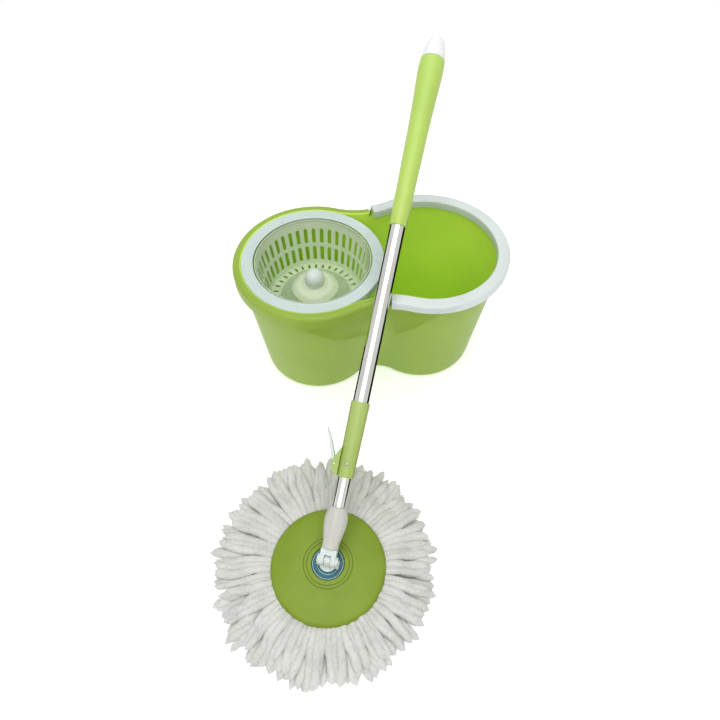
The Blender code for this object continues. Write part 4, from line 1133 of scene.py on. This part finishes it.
@dataclass
class MopHead:
    """The mop's disc with its badge, the strand ring and the microfibre strands."""

    finishes: Finishes
    disc_radius: float = 0.080
    badge_radius: float = BADGE_RADIUS
    badge_thick: float = 0.0013
    bore: float = 0.0098
    rim_round: float = 0.0046
    disc_wall: float = 0.0022
    strands: int = 80
    layers: int = 3
    sides: int = 10
    stations: int = 16
    reach: float = 0.159
    reach_back: float = 0.012
    reach_left: float = 0.006
    tufts: int = 26
    seed: int = 11
    centre: Vector = field(init=False)

    def __post_init__(self) -> None:
        """Reads the head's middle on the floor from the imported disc."""
        low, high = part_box("mop_disc")
        self.centre = Vector(((low.x + high.x) / 2, (low.y + high.y) / 2, 0.0))

    def disc_profile(self) -> list[Point]:
        """Returns the disc's section with two shallow moulded lines round the badge."""
        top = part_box("mop_disc")[1].z
        radius, recess = self.disc_radius, self.badge_radius + 0.0003
        floor_z = top - 0.0013 - self.badge_thick - 0.0003
        edge = top - 0.0160
        crown = [(recess, floor_z), (recess, top - 0.0006), (recess + 0.0006, top)]
        for line in GROOVE_RADII:
            crown += [(line - 0.0007, top), (line - 0.0002, top - 0.0005), (line + 0.0002, top - 0.0005),
                      (line + 0.0007, top)]
        skirt = rounded([(0.0365, top), (0.052, top - 0.0010), (0.066, top - 0.0036),
                         (radius - 0.0030, top - 0.0066), (radius, top - 0.0120), (radius, edge)],
                        [0, 0.012, 0.010, self.rim_round, self.rim_round, 0], 6)
        inside = rounded([(radius - 0.0004, edge - 0.0002), (radius - self.disc_wall, edge),
                          (radius - 0.0066, top - 0.0098), (0.050, top - 0.0042), (0.0170, floor_z - 0.0022),
                          (0.0170, 0.0300), (self.bore, 0.0300)], 0.0012, 3)
        return [(self.bore, floor_z)] + crown + skirt + inside

    def place(self, bm: BMesh) -> BMesh:
        """Moves a shape made about Z to the head's middle."""
        return Maker.moved(bm, Matrix.Translation(self.centre))

    def build(self) -> None:
        """Makes the disc, the badge, the clip ring and the strands."""
        disc = Maker.thing("domed_disc", self.place(Maker.turned(self.disc_profile(), 160)), 40)
        Maker.dress(disc, Body.HEAD, self.finishes.disc, "mop_disc")
        low, high = (corner.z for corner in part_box("disc_badge"))
        plate = rounded([(self.bore + 0.0001, low), (self.badge_radius, low), (self.badge_radius, high),
                         (self.bore + 0.0001, high)], 0.0004, 3, closed=True)
        badge = Maker.thing("round_badge", self.place(Maker.turned(plate)))
        Maker.dress(badge, Body.HEAD, self.finishes.badge, "disc_badge")
        self.build_clip()
        self.build_strands()

    def build_clip(self) -> None:
        """Makes the ring that holds the strands' roots."""
        low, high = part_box("strand_clip_ring")
        outer = (high.x - low.x) / 2
        channel = [(0.052, low.z), (outer, low.z), (outer, high.z), (outer - 0.002, high.z),
                   (outer - 0.002, low.z + 0.0025), (0.054, low.z + 0.0025), (0.054, high.z), (0.052, high.z)]
        ring = Maker.thing("strand_ring", self.place(Maker.turned(rounded(channel, 0.0006, 3, True))))
        Maker.dress(ring, Body.HEAD, self.finishes.white, "strand_clip_ring")

    def strand(self, curve: bpy.types.Curve, rng: random.Random, angle: float, layer: int,
               tuft: Place) -> None:
        """Adds one strand: a soft finger that leaves the ring, arches over and lies down on the floor.

        Args:
            curve: The curve that gathers the strands.
            rng: The seeded generator.
            angle: Where round the head it starts.
            layer: 0 for the top layer, rising downwards.
            tuft: The angle that its tuft bunches round, the tuft's reach and its lift.
        """
        middle, extra, lift = tuft
        reach = self.reach + self.reach_back * sin(angle) - self.reach_left * cos(angle)
        reach += extra + rng.uniform(-0.0065, 0.0045) - (0.006, 0.0, 0.002)[layer]
        thick = rng.uniform(0.0056, 0.0069)
        start = (0.074, 0.066, 0.052)[layer]
        height = (0.0275, 0.0180, 0.0075)[layer] + rng.uniform(-0.0018, 0.0018)
        floor_z = thick * 0.92 + (0.0115 + lift, 0.0045, 0.0)[layer] * rng.uniform(0.4, 1.0)
        lean, sway, phase = rng.gauss(0, 0.035), rng.uniform(0.0010, 0.0042), rng.uniform(0, tau)
        waves = rng.uniform(0.5, 1.4)
        points = []
        for i in range(self.stations):
            share = i / (self.stations - 1)
            run = start + (reach - start) * share
            bunch = 0.55 * (middle - angle) * share**1.5
            aside = lean * max(0.0, run - start) + sway * sin(phase + waves * tau * share) * share
            fall = share**1.9
            z = height * (1 - fall) + floor_z * fall
            if layer == 0:
                z += (0.0040 + lift) * sin(pi * min(1.0, share * 1.7)) + rng.uniform(-0.0004, 0.0004)
            ending = max(0.0, (share - 0.78) / 0.22)
            size = sqrt(max(0.0, 1 - ending**2.6)) * (0.80 + 0.20 * min(1.0, share * 3))
            size *= 1 + 0.07 * sin(7.3 * phase + 17 * share) + rng.uniform(-0.05, 0.05)
            z = max(z, thick * size * 0.98)
            turn = angle + bunch + aside / run
            points.append((run * cos(turn), run * sin(turn), z, max(0.02, size) * thick))
        spline = curve.splines.new("POLY")
        spline.points.add(len(points) - 1)
        spline.use_smooth = True
        for point, (x, y, z, size) in zip(spline.points, points):
            point.co = (self.centre.x + x, self.centre.y + y, z, 1.0)
            point.radius = size

    def build_strands(self) -> None:
        """Makes every strand and joins them into one piece."""
        rng = random.Random(self.seed)
        curve = bpy.data.curves.new("strands", "CURVE")
        curve.dimensions = "3D"
        curve.bevel_depth = 1.0
        curve.bevel_resolution = (self.sides - 4) // 2
        curve.use_fill_caps = True
        for layer in range(self.layers):
            tufts = [(rng.uniform(-0.006, 0.006), rng.uniform(0.0, 0.0035)) for _ in range(self.tufts)]
            for i in range(self.strands):
                angle = tau * (i + 0.5 * (layer % 2) + rng.uniform(-0.30, 0.30)) / self.strands
                place = angle / tau * self.tufts + 0.37 * layer
                middle = (int(place // 1) + 0.5 - 0.37 * layer) * tau / self.tufts
                self.strand(curve, rng, angle, layer, (middle, *tufts[int(place // 1) % self.tufts]))
        made = bpy.data.objects.new("strands", curve)
        bpy.context.scene.collection.objects.link(made)
        bpy.context.view_layer.update()
        mesh = bpy.data.meshes.new_from_object(made.evaluated_get(bpy.context.evaluated_depsgraph_get()))
        bpy.data.objects.remove(made, do_unlink=True)
        bm = bmesh.new()
        bm.from_mesh(mesh)
        bpy.data.meshes.remove(mesh)
        bmesh.ops.recalc_face_normals(bm, faces=bm.faces)
        piece = Maker.thing("microfibre_strands", bm, 80)
        Maker.dress(piece, Body.HEAD, self.finishes.cloth, "mop_strands")


@dataclass
class Swivel:
    """The hub that the disc turns on, with the footed lug that the fork straddles."""

    finishes: Finishes
    pole_turn: float
    centre: Vector
    stem: float = 0.0095
    flange: float = 0.012
    lug_width: float = 0.0084
    lug_radius: float = 0.006
    foot_reach: float = 0.0158
    foot_width: float = 0.0052
    washer_bore: float = 0.0098

    def build(self, pivot_z: float) -> None:
        """Makes the hub with its feet, and the retaining washer.

        Args:
            pivot_z: Height of the tilt axis.
        """
        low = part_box("swivel_hub")[0].z
        flange_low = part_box("mop_disc")[1].z - 0.0010
        flange_top = flange_low + 0.0025
        profile = rounded([(0, low), (self.stem, low), (self.stem - 0.0003, flange_low),
                           (self.flange, flange_low), (self.flange, flange_top), (0, flange_top)],
                          [0, 0.001, 0, 0.0003, 0.0009, 0], 4)
        hub = Maker.thing("swivel_lug", Maker.turned(profile, 72))
        turn = Matrix.Rotation(pi / 2 - self.pole_turn, 4, "Z")
        wide, sunk = self.lug_radius + 0.0012, flange_top - 0.001
        side = [(-wide, sunk), (wide, sunk)] + arc((0, pivot_z), self.lug_radius, 0, pi, 20)
        lug = Maker.plate(side, -self.lug_width / 2, self.lug_width / 2)
        Maker.cut(hub, Maker.moved(lug, turn), "UNION")
        foot = [(-self.foot_reach, flange_low + 0.0004), (self.foot_reach, flange_low + 0.0004),
                (self.foot_reach - 0.0006, flange_low + 0.0024), (0.0100, flange_top + 0.0026),
                (-0.0100, flange_top + 0.0026), (-self.foot_reach + 0.0006, flange_low + 0.0024)]
        feet = Maker.plate(foot, -self.foot_width, self.foot_width)
        Maker.cut(hub, Maker.moved(feet, turn @ Matrix.Rotation(pi / 2, 4, "Z")), "UNION")
        at = turn @ Matrix.Translation((0, 0, pivot_z)) @ ALONG_Y
        Maker.cut(hub, Maker.moved(Maker.rod(TILT_HOLE, -0.01, 0.01, 32), at))
        hub.data.transform(Matrix.Translation(self.centre))
        Maker.smooth(hub)
        Maker.eased(hub, 0.0005, 2, 40)
        Maker.dress(hub, Body.HUB, self.finishes.white, "swivel_hub")
        low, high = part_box("hub_retainer")
        outer = (high.x - low.x) / 2
        washer = rounded([(self.washer_bore, low.z), (outer, low.z), (outer, high.z),
                          (self.washer_bore, high.z)], 0.0004, 3, True)
        placed = Maker.moved(Maker.turned(washer), Matrix.Translation(self.centre))
        piece = Maker.thing("retaining_washer", placed)
        Maker.dress(piece, Body.HUB, self.finishes.steel, "hub_retainer")


# ---------------------------------------------------------------- pole


@dataclass
class Pole:
    """The two-part pole: fork, knuckle, tubes, clamp collar with its lever, grip and cap."""

    finishes: Finishes
    at: Matrix
    lower_radius: float = 0.0085
    upper_radius: float = 0.0110
    tube_wall: float = 0.001
    lower_run: Point = (0.0446, 0.620)
    upper_run: Point = (0.150, 0.712)
    collar_run: Point = (0.112, 0.216)
    grip_run: Point = (0.468, 0.719)
    cap_run: Point = (0.7193, 0.7563)
    spigot_low: float = 0.7123
    knuckle_top: float = 0.072
    ridges: int = 8
    ridge_share: float = 0.020
    fork_inner: float = 0.0048
    fork_ear: float = 0.006
    fork_radius: float = 0.0075
    fork_neck: float = 0.016
    fork_boss: float = 0.0035
    fork_pin: float = 0.0025
    lever_at: float = 0.128
    lever_out: float = 0.0175
    lever_length: float = 0.050
    lever_open: float = radians(22)
    taper_from: float = 0.014
    taper: float = 0.62
    screw_at: float = 0.131

    def finish_piece(self, name: str, bm: BMesh, body: Body, finish: Finish, *nodes: str,
                     sharp: float = 35.0) -> Piece:
        """Moves a shape made in the pole's frame into place and dresses it.

        Args:
            name: The piece's name.
            bm: The shape, with the pole along Z and the tilt axis along X.
            body: The body it rides on.
            finish: Its material and slot.
            *nodes: The CAD nodes it stands for.
            sharp: Faces that meet at more than this many degrees stay sharp.

        Returns:
            The piece.
        """
        return Maker.dress(Maker.thing(name, Maker.moved(bm, self.at), sharp), body, finish, *nodes)

    def settle(self, piece: Piece, body: Body, finish: Finish, node: str) -> None:
        """Moves a piece cut in the pole's frame into place and dresses it."""
        piece.data.transform(self.at)
        Maker.smooth(piece)
        Maker.dress(piece, body, finish, node)

    def build(self) -> None:
        """Makes every piece of the pole."""
        for step in (self.build_fork, self.build_knuckle, self.build_tubes, self.build_collar,
                     self.build_lever, self.build_grip, self.build_cap):
            step()

    def build_fork(self) -> None:
        """Makes the fork that straddles the lug, and its pin."""
        inner, outer, neck = self.fork_inner, self.fork_inner + self.fork_ear, self.fork_neck
        wide = self.fork_radius + 0.0005
        side = arc((0, 0), self.fork_radius, pi, tau, 24)
        side += rounded([(self.fork_radius, 0), (wide, neck), (-wide, neck), (-self.fork_radius, 0)],
                        0.003, 6)[1:-1]
        across = Matrix.Rotation(-pi / 2, 4, "Z")
        fork = Maker.thing("tilt_fork", Maker.moved(Maker.plate(side, -outer, outer), across))
        Maker.cut(fork, Maker.block((-inner, -0.02, -0.02), (inner, 0.02, 0.0076)))
        stem = [(0, neck - 0.002), (0.006, neck - 0.002), (0.006, 0.0392), (0.0052, 0.040), (0, 0.040)]
        Maker.cut(fork, Maker.turned(stem, 48), "UNION")
        reach = outer + self.fork_boss
        for sign in (-1, 1):
            boss = [(0, outer - 0.001), (0.0060, outer - 0.001), (0.0060, reach - 0.0008), (0.0052, reach),
                    (0, reach)]
            flip = Matrix.Diagonal((sign, 1, 1, 1))
            Maker.cut(fork, Maker.moved(Maker.turned(boss, 40), flip @ ALONG_X), "UNION")
        Maker.cut(fork, Maker.moved(Maker.rod(TILT_HOLE, -reach - 0.002, reach + 0.002, 32), ALONG_X))
        Maker.eased(fork, 0.0007, 3, 45)
        self.settle(fork, Body.LOWER, self.finishes.white, "swivel_fork")
        end = reach - 0.0005
        pin = [(0, -end), (self.fork_pin - 0.0005, -end), (self.fork_pin, -end + 0.0005),
               (self.fork_pin, end - 0.0005), (self.fork_pin - 0.0005, end), (0, end)]
        self.finish_piece("tilt_pin", Maker.moved(Maker.turned(pin, 32), ALONG_X), Body.LOWER,
                          self.finishes.steel, "fork_pin")

    def build_knuckle(self) -> None:
        """Makes the bulb over the fork's stem, with soft ridges round its belly."""
        low, top = self.fork_neck + 0.0003, self.knuckle_top
        skin = rounded([(0.0106, low), (0.0113, low + 0.0012), (0.0113, 0.0235), (0.0132, 0.0325),
                        (0.0151, 0.044), (0.0157, 0.053), (0.0152, 0.060), (0.0137, 0.066),
                        (0.0118, 0.0700), (0.0108, 0.0712), (0.0100, top), (0.0088, top)],
                       [0, 0.0006, 0.004, 0.006, 0.006, 0.006, 0.005, 0.004, 0.003, 0.001, 0.0006, 0], 4)
        inside = [(0.0088, 0.0445), (0, 0.0443), (0, 0.0403), (0.0063, 0.0403), (0.0063, low)]
        bm = Maker.turned(skin + inside, 144)
        for vert in bm.verts:
            radius, z = hypot(vert.co.x, vert.co.y), vert.co.z
            if radius > 0.0107:
                belly = sin(pi * min(1.0, max(0.0, (z - 0.022) / 0.046)))
                wave = cos(self.ridges * atan2(vert.co.y, vert.co.x))
                swell = 1 + self.ridge_share * belly * wave - self.ridge_share / 2 * belly
                vert.co.x *= swell
                vert.co.y *= swell
        bmesh.ops.recalc_face_normals(bm, faces=bm.faces)
        self.finish_piece("pole_knuckle", bm, Body.LOWER, self.finishes.joint, "knuckle", sharp=40)

    def build_tubes(self) -> None:
        """Makes the lower and upper tubes with rolled ends."""
        for name, node, radius, low, high, body in (
            ("inner_tube", "lower_tube", self.lower_radius, *self.lower_run, Body.LOWER),
            ("outer_tube", "upper_tube", self.upper_radius, *self.upper_run, Body.UPPER),
        ):
            bore = radius - self.tube_wall
            wall = rounded([(bore, low), (radius, low), (radius, high), (bore, high)], 0.0004, 3, True)
            self.finish_piece(name, Maker.turned(wall, 128), body, self.finishes.tube, node)

    def build_collar(self) -> None:
        """Makes the clamp collar with its lever boss, and the clamp screw."""
        low, high = self.collar_run
        skin = rounded([(0.0105, low), (0.0114, low + 0.0012), (0.0122, 0.150), (0.0129, high - 0.0035),
                        (0.0131, high - 0.0018), (0.0124, high), (0.0113, high)],
                       [0, 0.0008, 0.010, 0.003, 0.0012, 0.0008, 0], 4)
        inside = [(0.0113, 0.1497), (0.0107, 0.1497), (0.0107, low + 0.002), (0.0088, low + 0.002),
                  (0.0088, low)]
        collar = Maker.thing("clamp_sleeve", Maker.turned(skin + inside, 96))
        far, at = -self.lever_out - 0.0045, self.lever_at
        side = rounded([(-0.0108, low + 0.0015), (-0.0135, low + 0.0020), (far + 0.002, at - 0.0090),
                        (far, at - 0.004), (far, at + 0.003), (far + 0.002, at + 0.006),
                        (-0.0145, at + 0.019), (-0.0113, at + 0.024)],
                       [0, 0.002, 0.004, 0.003, 0.003, 0.004, 0.006, 0], 4)
        Maker.cut(collar, Maker.plate(side, -0.0089, 0.0089), "UNION")
        Maker.cut(collar, Maker.block((far - 0.004, -0.0063, at - 0.0052), (-0.0131, 0.0063, at + 0.03)))
        at_pin = Matrix.Translation((-self.lever_out, 0, at)) @ ALONG_Y
        Maker.cut(collar, Maker.moved(Maker.rod(SMALL_HOLE, -0.012, 0.012), at_pin))
        at_screw = Matrix.Translation((0, 0, self.screw_at)) @ ALONG_Y
        Maker.cut(collar, Maker.moved(Maker.rod(SMALL_HOLE, -0.016, -0.0104), at_screw))
        Maker.eased(collar, 0.0006, 2, 45)
        self.settle(collar, Body.UPPER, self.finishes.collar, "clamp_collar")
        screw = Maker.thing("clamp_screw_head", Maker.turned(
            [(0, -0.0134), (0.0012, -0.0133), (0.0021, -0.0129), (0.0024, -0.0125), (0.0024, -0.0122),
             (0.0015, -0.0122), (0.0015, -0.0107), (0, -0.0107)], 32))
        Maker.cut(screw, Maker.block((-0.0003, -0.003, -0.0140), (0.0003, 0.003, -0.0129)))
        screw.data.transform(at_screw)
        self.settle(screw, Body.UPPER, self.finishes.steel, "clamp_screw")

    def build_lever(self) -> None:
        """Makes the slender cam lever, which tapers to its tip."""
        length, thick = self.lever_length, 0.003
        blade = arc((0, 0), 0.004, radians(60), radians(-240), 24)
        half, waist = thick / 2, length * 0.6
        blade += rounded([(-0.0035, 0.0020), (-half - 0.0012, 0.016), (-half - 0.0004, waist),
                          (-0.0022, length), (-0.0006, length), (half + 0.0002, waist), (half, 0.016),
                          (0.0020, 0.0035)],
                         [0, 0.006, 0.01, 0.0006, 0.0006, 0.01, 0.006, 0], 4)[1:-1]
        bm = Maker.plate(blade, -0.006, 0.006)
        bmesh.ops.bisect_plane(bm, geom=bm.verts[:] + bm.edges[:] + bm.faces[:],
                               plane_co=(0, 0, self.taper_from), plane_no=(0, 0, 1))
        for vert in bm.verts:
            share = max(0.0, (vert.co.z - self.taper_from) / (length - self.taper_from))
            vert.co.y *= 1 - self.taper * share
        lever = Maker.thing("cam_lever", bm, 40)
        Maker.cut(lever, Maker.moved(Maker.rod(SMALL_HOLE, -0.01, 0.01), ALONG_Y))
        lever.data.transform(Matrix.Translation((-self.lever_out, 0, self.lever_at))
                             @ Matrix.Rotation(-self.lever_open, 4, "Y"))
        Maker.eased(lever, 0.0008, 3, 45)
        self.settle(lever, Body.LEVER, self.finishes.white, "lock_lever")

    def build_grip(self) -> None:
        """Makes the long moulded grip."""
        low, high = self.grip_run
        skin = rounded([(0.0124, low), (0.0131, low + 0.0012), (0.0131, 0.485), (0.01345, 0.525),
                        (0.01435, 0.570), (0.01515, 0.615), (0.0168, 0.660), (0.0181, 0.685), (0.0188, 0.700),
                        (0.0187, 0.711), (0.0180, high), (0.0113, high)],
                       [0, 0.0008, 0.01, 0.02, 0.02, 0.02, 0.02, 0.01, 0.006, 0.004, 0.001, 0], 5)
        grip = self.finish_piece("long_grip", Maker.turned([(0.0113, low)] + skin, 128), Body.UPPER,
                                 self.finishes.grip, "grip")
        Maker.eased(grip, 0.0004, 2, 50)

    def build_cap(self) -> None:
        """Makes the rounded end cap."""
        foot, end = self.cap_run
        skin = rounded([(0.0177, foot), (0.0174, foot + 0.004), (0.0160, foot + 0.012),
                        (0.0142, foot + 0.020), (0.0126, foot + 0.028), (0.0098, end - 0.0030),
                        (0.0050, end - 0.0004), (0, end)],
                       [0, 0.002, 0.005, 0.005, 0.005, 0.004, 0.002, 0], 5)
        spigot = [(0, self.spigot_low), (0.0110, self.spigot_low), (0.0110, foot)]
        cap = Maker.turned(spigot + skin)
        self.finish_piece("hanging_cap", cap, Body.UPPER, self.finishes.cap, "end_cap")


# ---------------------------------------------------------------- pieces that keep their CAD shape


@dataclass(frozen=True)
class HiddenWorks:
    """Finishes of the inner pieces that keep their CAD solids."""

    finishes: Finishes

    def build(self) -> None:
        """Gives each kept node its procedural material."""
        kept = self.finishes
        chosen = {
            "spindle_post": kept.post, "spindle_pin": kept.steel, "thrust_washer": kept.brass,
            "basket_bush": kept.brass, "guide_bush": kept.nylon, "nut_seat": kept.nylon,
            "drive_nut": kept.brass, "twist_bar": kept.steel, "bar_anchor": kept.nylon,
            "clamp_bush": kept.nylon, "lever_pin": kept.steel,
        }
        for name, finish in chosen.items():
            node = frame["nodes"][name]
            node.data.materials.clear()
            node.data.materials.append(finish.material)
            LOG.info("%s keeps its solid", name)


# ---------------------------------------------------------------- studio


@dataclass(frozen=True)
class Studio:
    """The pale floor, the soft lights and the camera."""

    eye: Place = (-0.1006, -0.6262, 0.8366)
    lens: float = 28.24
    look_down: float = 54.8
    turn: float = -7.67
    roll: float = 0.38
    around: float = 0.34
    mirrored: float = 0.85
    card_turns: Point = (98.0, 172.0)
    card_away: float = 0.12
    card_run: Point = (0.04, 0.52)
    lights: tuple[tuple[str, Place, float, float], ...] = (
        ("key", (-0.35, -1.25, 1.9), 2.2, 22.0),
        ("top", (0.0, 0.0, 2.2), 1.9, 19.0),
        ("rear", (0.2, 1.6, 1.7), 1.6, 5.0),
    )

    def build(self, pole: Matrix) -> None:
        """Makes the floor, the lights, the surroundings and the camera.

        Args:
            pole: The pole's frame, which the dark cards stand along.
        """
        self.floor()
        for name, place, size, power in self.lights:
            self.softbox(name, place, size, power)
        self.surroundings()
        for side in (-1, 1):
            self.card(pole, side)
        self.camera()
        bpy.context.scene.view_settings.view_transform = "Standard"
        bpy.context.scene.view_settings.look = "None"

    def card(self, pole: Matrix, side: int) -> None:
        """Stands a dark card along the pole, which only shows in polished steel.

        Args:
            pole: The pole's frame.
            side: 1 for the card on the side of the frame's X axis, -1 for the other.
        """
        low, high = self.card_run
        bm = bmesh.new()
        bottom = [bm.verts.new((side * self.card_away * sin(turn), -self.card_away * cos(turn), low))
                  for turn in map(radians, self.card_turns)]
        strip = bmesh.ops.extrude_edge_only(bm, edges=[bm.edges.new(bottom)])["geom"]
        raised = [item for item in strip if isinstance(item, bmesh.types.BMVert)]
        bmesh.ops.translate(bm, verts=raised, vec=(0, 0, high - low))
        card = Maker.thing(f"dark_card_{'left' if side < 0 else 'right'}", Maker.moved(bm, pole))
        bench = ShaderBench("dark_card")
        bench.set(Base_Color=(0.012, 0.012, 0.012, 1.0), Roughness=1.0, Specular_IOR_Level=0.0)
        card.data.materials.append(bench.material)
        card.visible_camera = card.visible_diffuse = card.visible_shadow = card.visible_transmission = False

    def floor(self) -> None:
        """Makes the plain pale floor."""
        bm = bmesh.new()
        bmesh.ops.create_grid(bm, x_segments=1, y_segments=1, size=8.0,
                              matrix=Matrix.Translation((0, 0, -0.0006)))
        floor = Maker.thing("floor", bm)
        bench = ShaderBench("pale_floor")
        tint = bench.remap(bench.noise(1.2, 2.0), (0.3, 0.7), (0.0, 1.0))
        bench.join(bench.blend(tint, (0.90, 0.90, 0.90, 1.0), (0.93, 0.93, 0.93, 1.0)), "Base Color")
        bench.set(Roughness=0.9, Specular_IOR_Level=0.1, Emission_Color=(1.0, 1.0, 1.0, 1.0),
                  Emission_Strength=0.42)
        floor.data.materials.append(bench.material)

    def softbox(self, name: str, place: Place, size: float, power: float) -> None:
        """Hangs a square light that points at the bucket.

        Args:
            name: The light's name.
            place: Where it hangs.
            size: Its side in metres.
            power: Its power in watts.
        """
        light = bpy.data.lights.new(name, "AREA")
        light.shape, light.size, light.energy = "SQUARE", size, power
        made = bpy.data.objects.new(name, light)
        made.location = place
        aim = Vector((0.0, -0.1, 0.1)) - Vector(place)
        made.rotation_euler = aim.to_track_quat("-Z", "Y").to_euler()
        bpy.context.scene.collection.objects.link(made)

    def surroundings(self) -> None:
        """Lights the scene evenly from all round, and shows brighter walls in what mirrors them."""
        world = bpy.data.worlds.new("studio")
        world.use_nodes = True
        shade = world.node_tree.nodes["Background"]
        shade.inputs["Color"].default_value = (1.0, 1.0, 1.0, 1.0)
        path = world.node_tree.nodes.new("ShaderNodeLightPath")
        level = world.node_tree.nodes.new("ShaderNodeMapRange")
        level.inputs["To Min"].default_value = self.around
        level.inputs["To Max"].default_value = self.mirrored
        world.node_tree.links.new(path.outputs["Is Glossy Ray"], level.inputs["Value"])
        world.node_tree.links.new(level.outputs["Result"], shade.inputs["Strength"])
        bpy.context.scene.world = world

    def camera(self) -> None:
        """Makes the camera."""
        lens = bpy.data.cameras.new("camera")
        lens.lens, lens.sensor_width = self.lens, 36.0
        lens.clip_start, lens.clip_end = 0.01, 50.0
        made = bpy.data.objects.new("camera", lens)
        aimed = Matrix.Rotation(radians(90 - self.look_down), 4, "X")
        turned = Matrix.Rotation(radians(self.turn), 4, "Z") @ aimed
        turned = turned @ Matrix.Rotation(radians(self.roll), 4, "Z")
        made.matrix_world = Matrix.Translation(self.eye) @ turned
        bpy.context.scene.collection.objects.link(made)
        bpy.context.scene.camera = made


def pole_frame() -> Matrix:
    """Returns the pole's frame at the tilt pivot, with X along the tilt axis and Z up the pole."""
    tilt, slide = joint("handle_tilt"), joint("pole_slide")
    across, along = Vector(tilt["axis"]).normalized(), Vector(slide["axis"]).normalized()
    turn = Matrix((across, along.cross(across), along)).transposed().to_4x4()
    return Matrix.Translation(tilt["pos_m"]) @ turn


def main() -> None:
    """Builds the studio and every sub-assembly in order."""
    logging.basicConfig(level=logging.INFO, format="%(message)s")
    pole = pole_frame()
    Studio().build(pole)
    pivot = pole.translation
    plan = RimPlan()
    head_low, head_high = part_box("disc_badge")
    middle = (head_low + head_high) / 2
    badge = RingedBadge("ringed_badge", Slot.TEAL, (middle.x, middle.y, 0.0), BADGE_RADIUS,
                        (9, 66, 84), (24, 108, 124), (150, 205, 200))
    finishes = Finishes(pole, badge)
    Bucket(plan, finishes).build()
    Bail(plan, finishes).build()
    SplashRing(plan, finishes).build()
    Basket(-plan.lobe_x, finishes).build()
    MopHead(finishes).build()
    across = pole.to_3x3() @ Vector((1, 0, 0))
    Swivel(finishes, -atan2(across.y, across.x), Vector((pivot.x, pivot.y, 0.0))).build(pivot.z)
    Pole(finishes, pole).build()
    HiddenWorks(finishes).build()


if __name__ == "__main__":
    main()
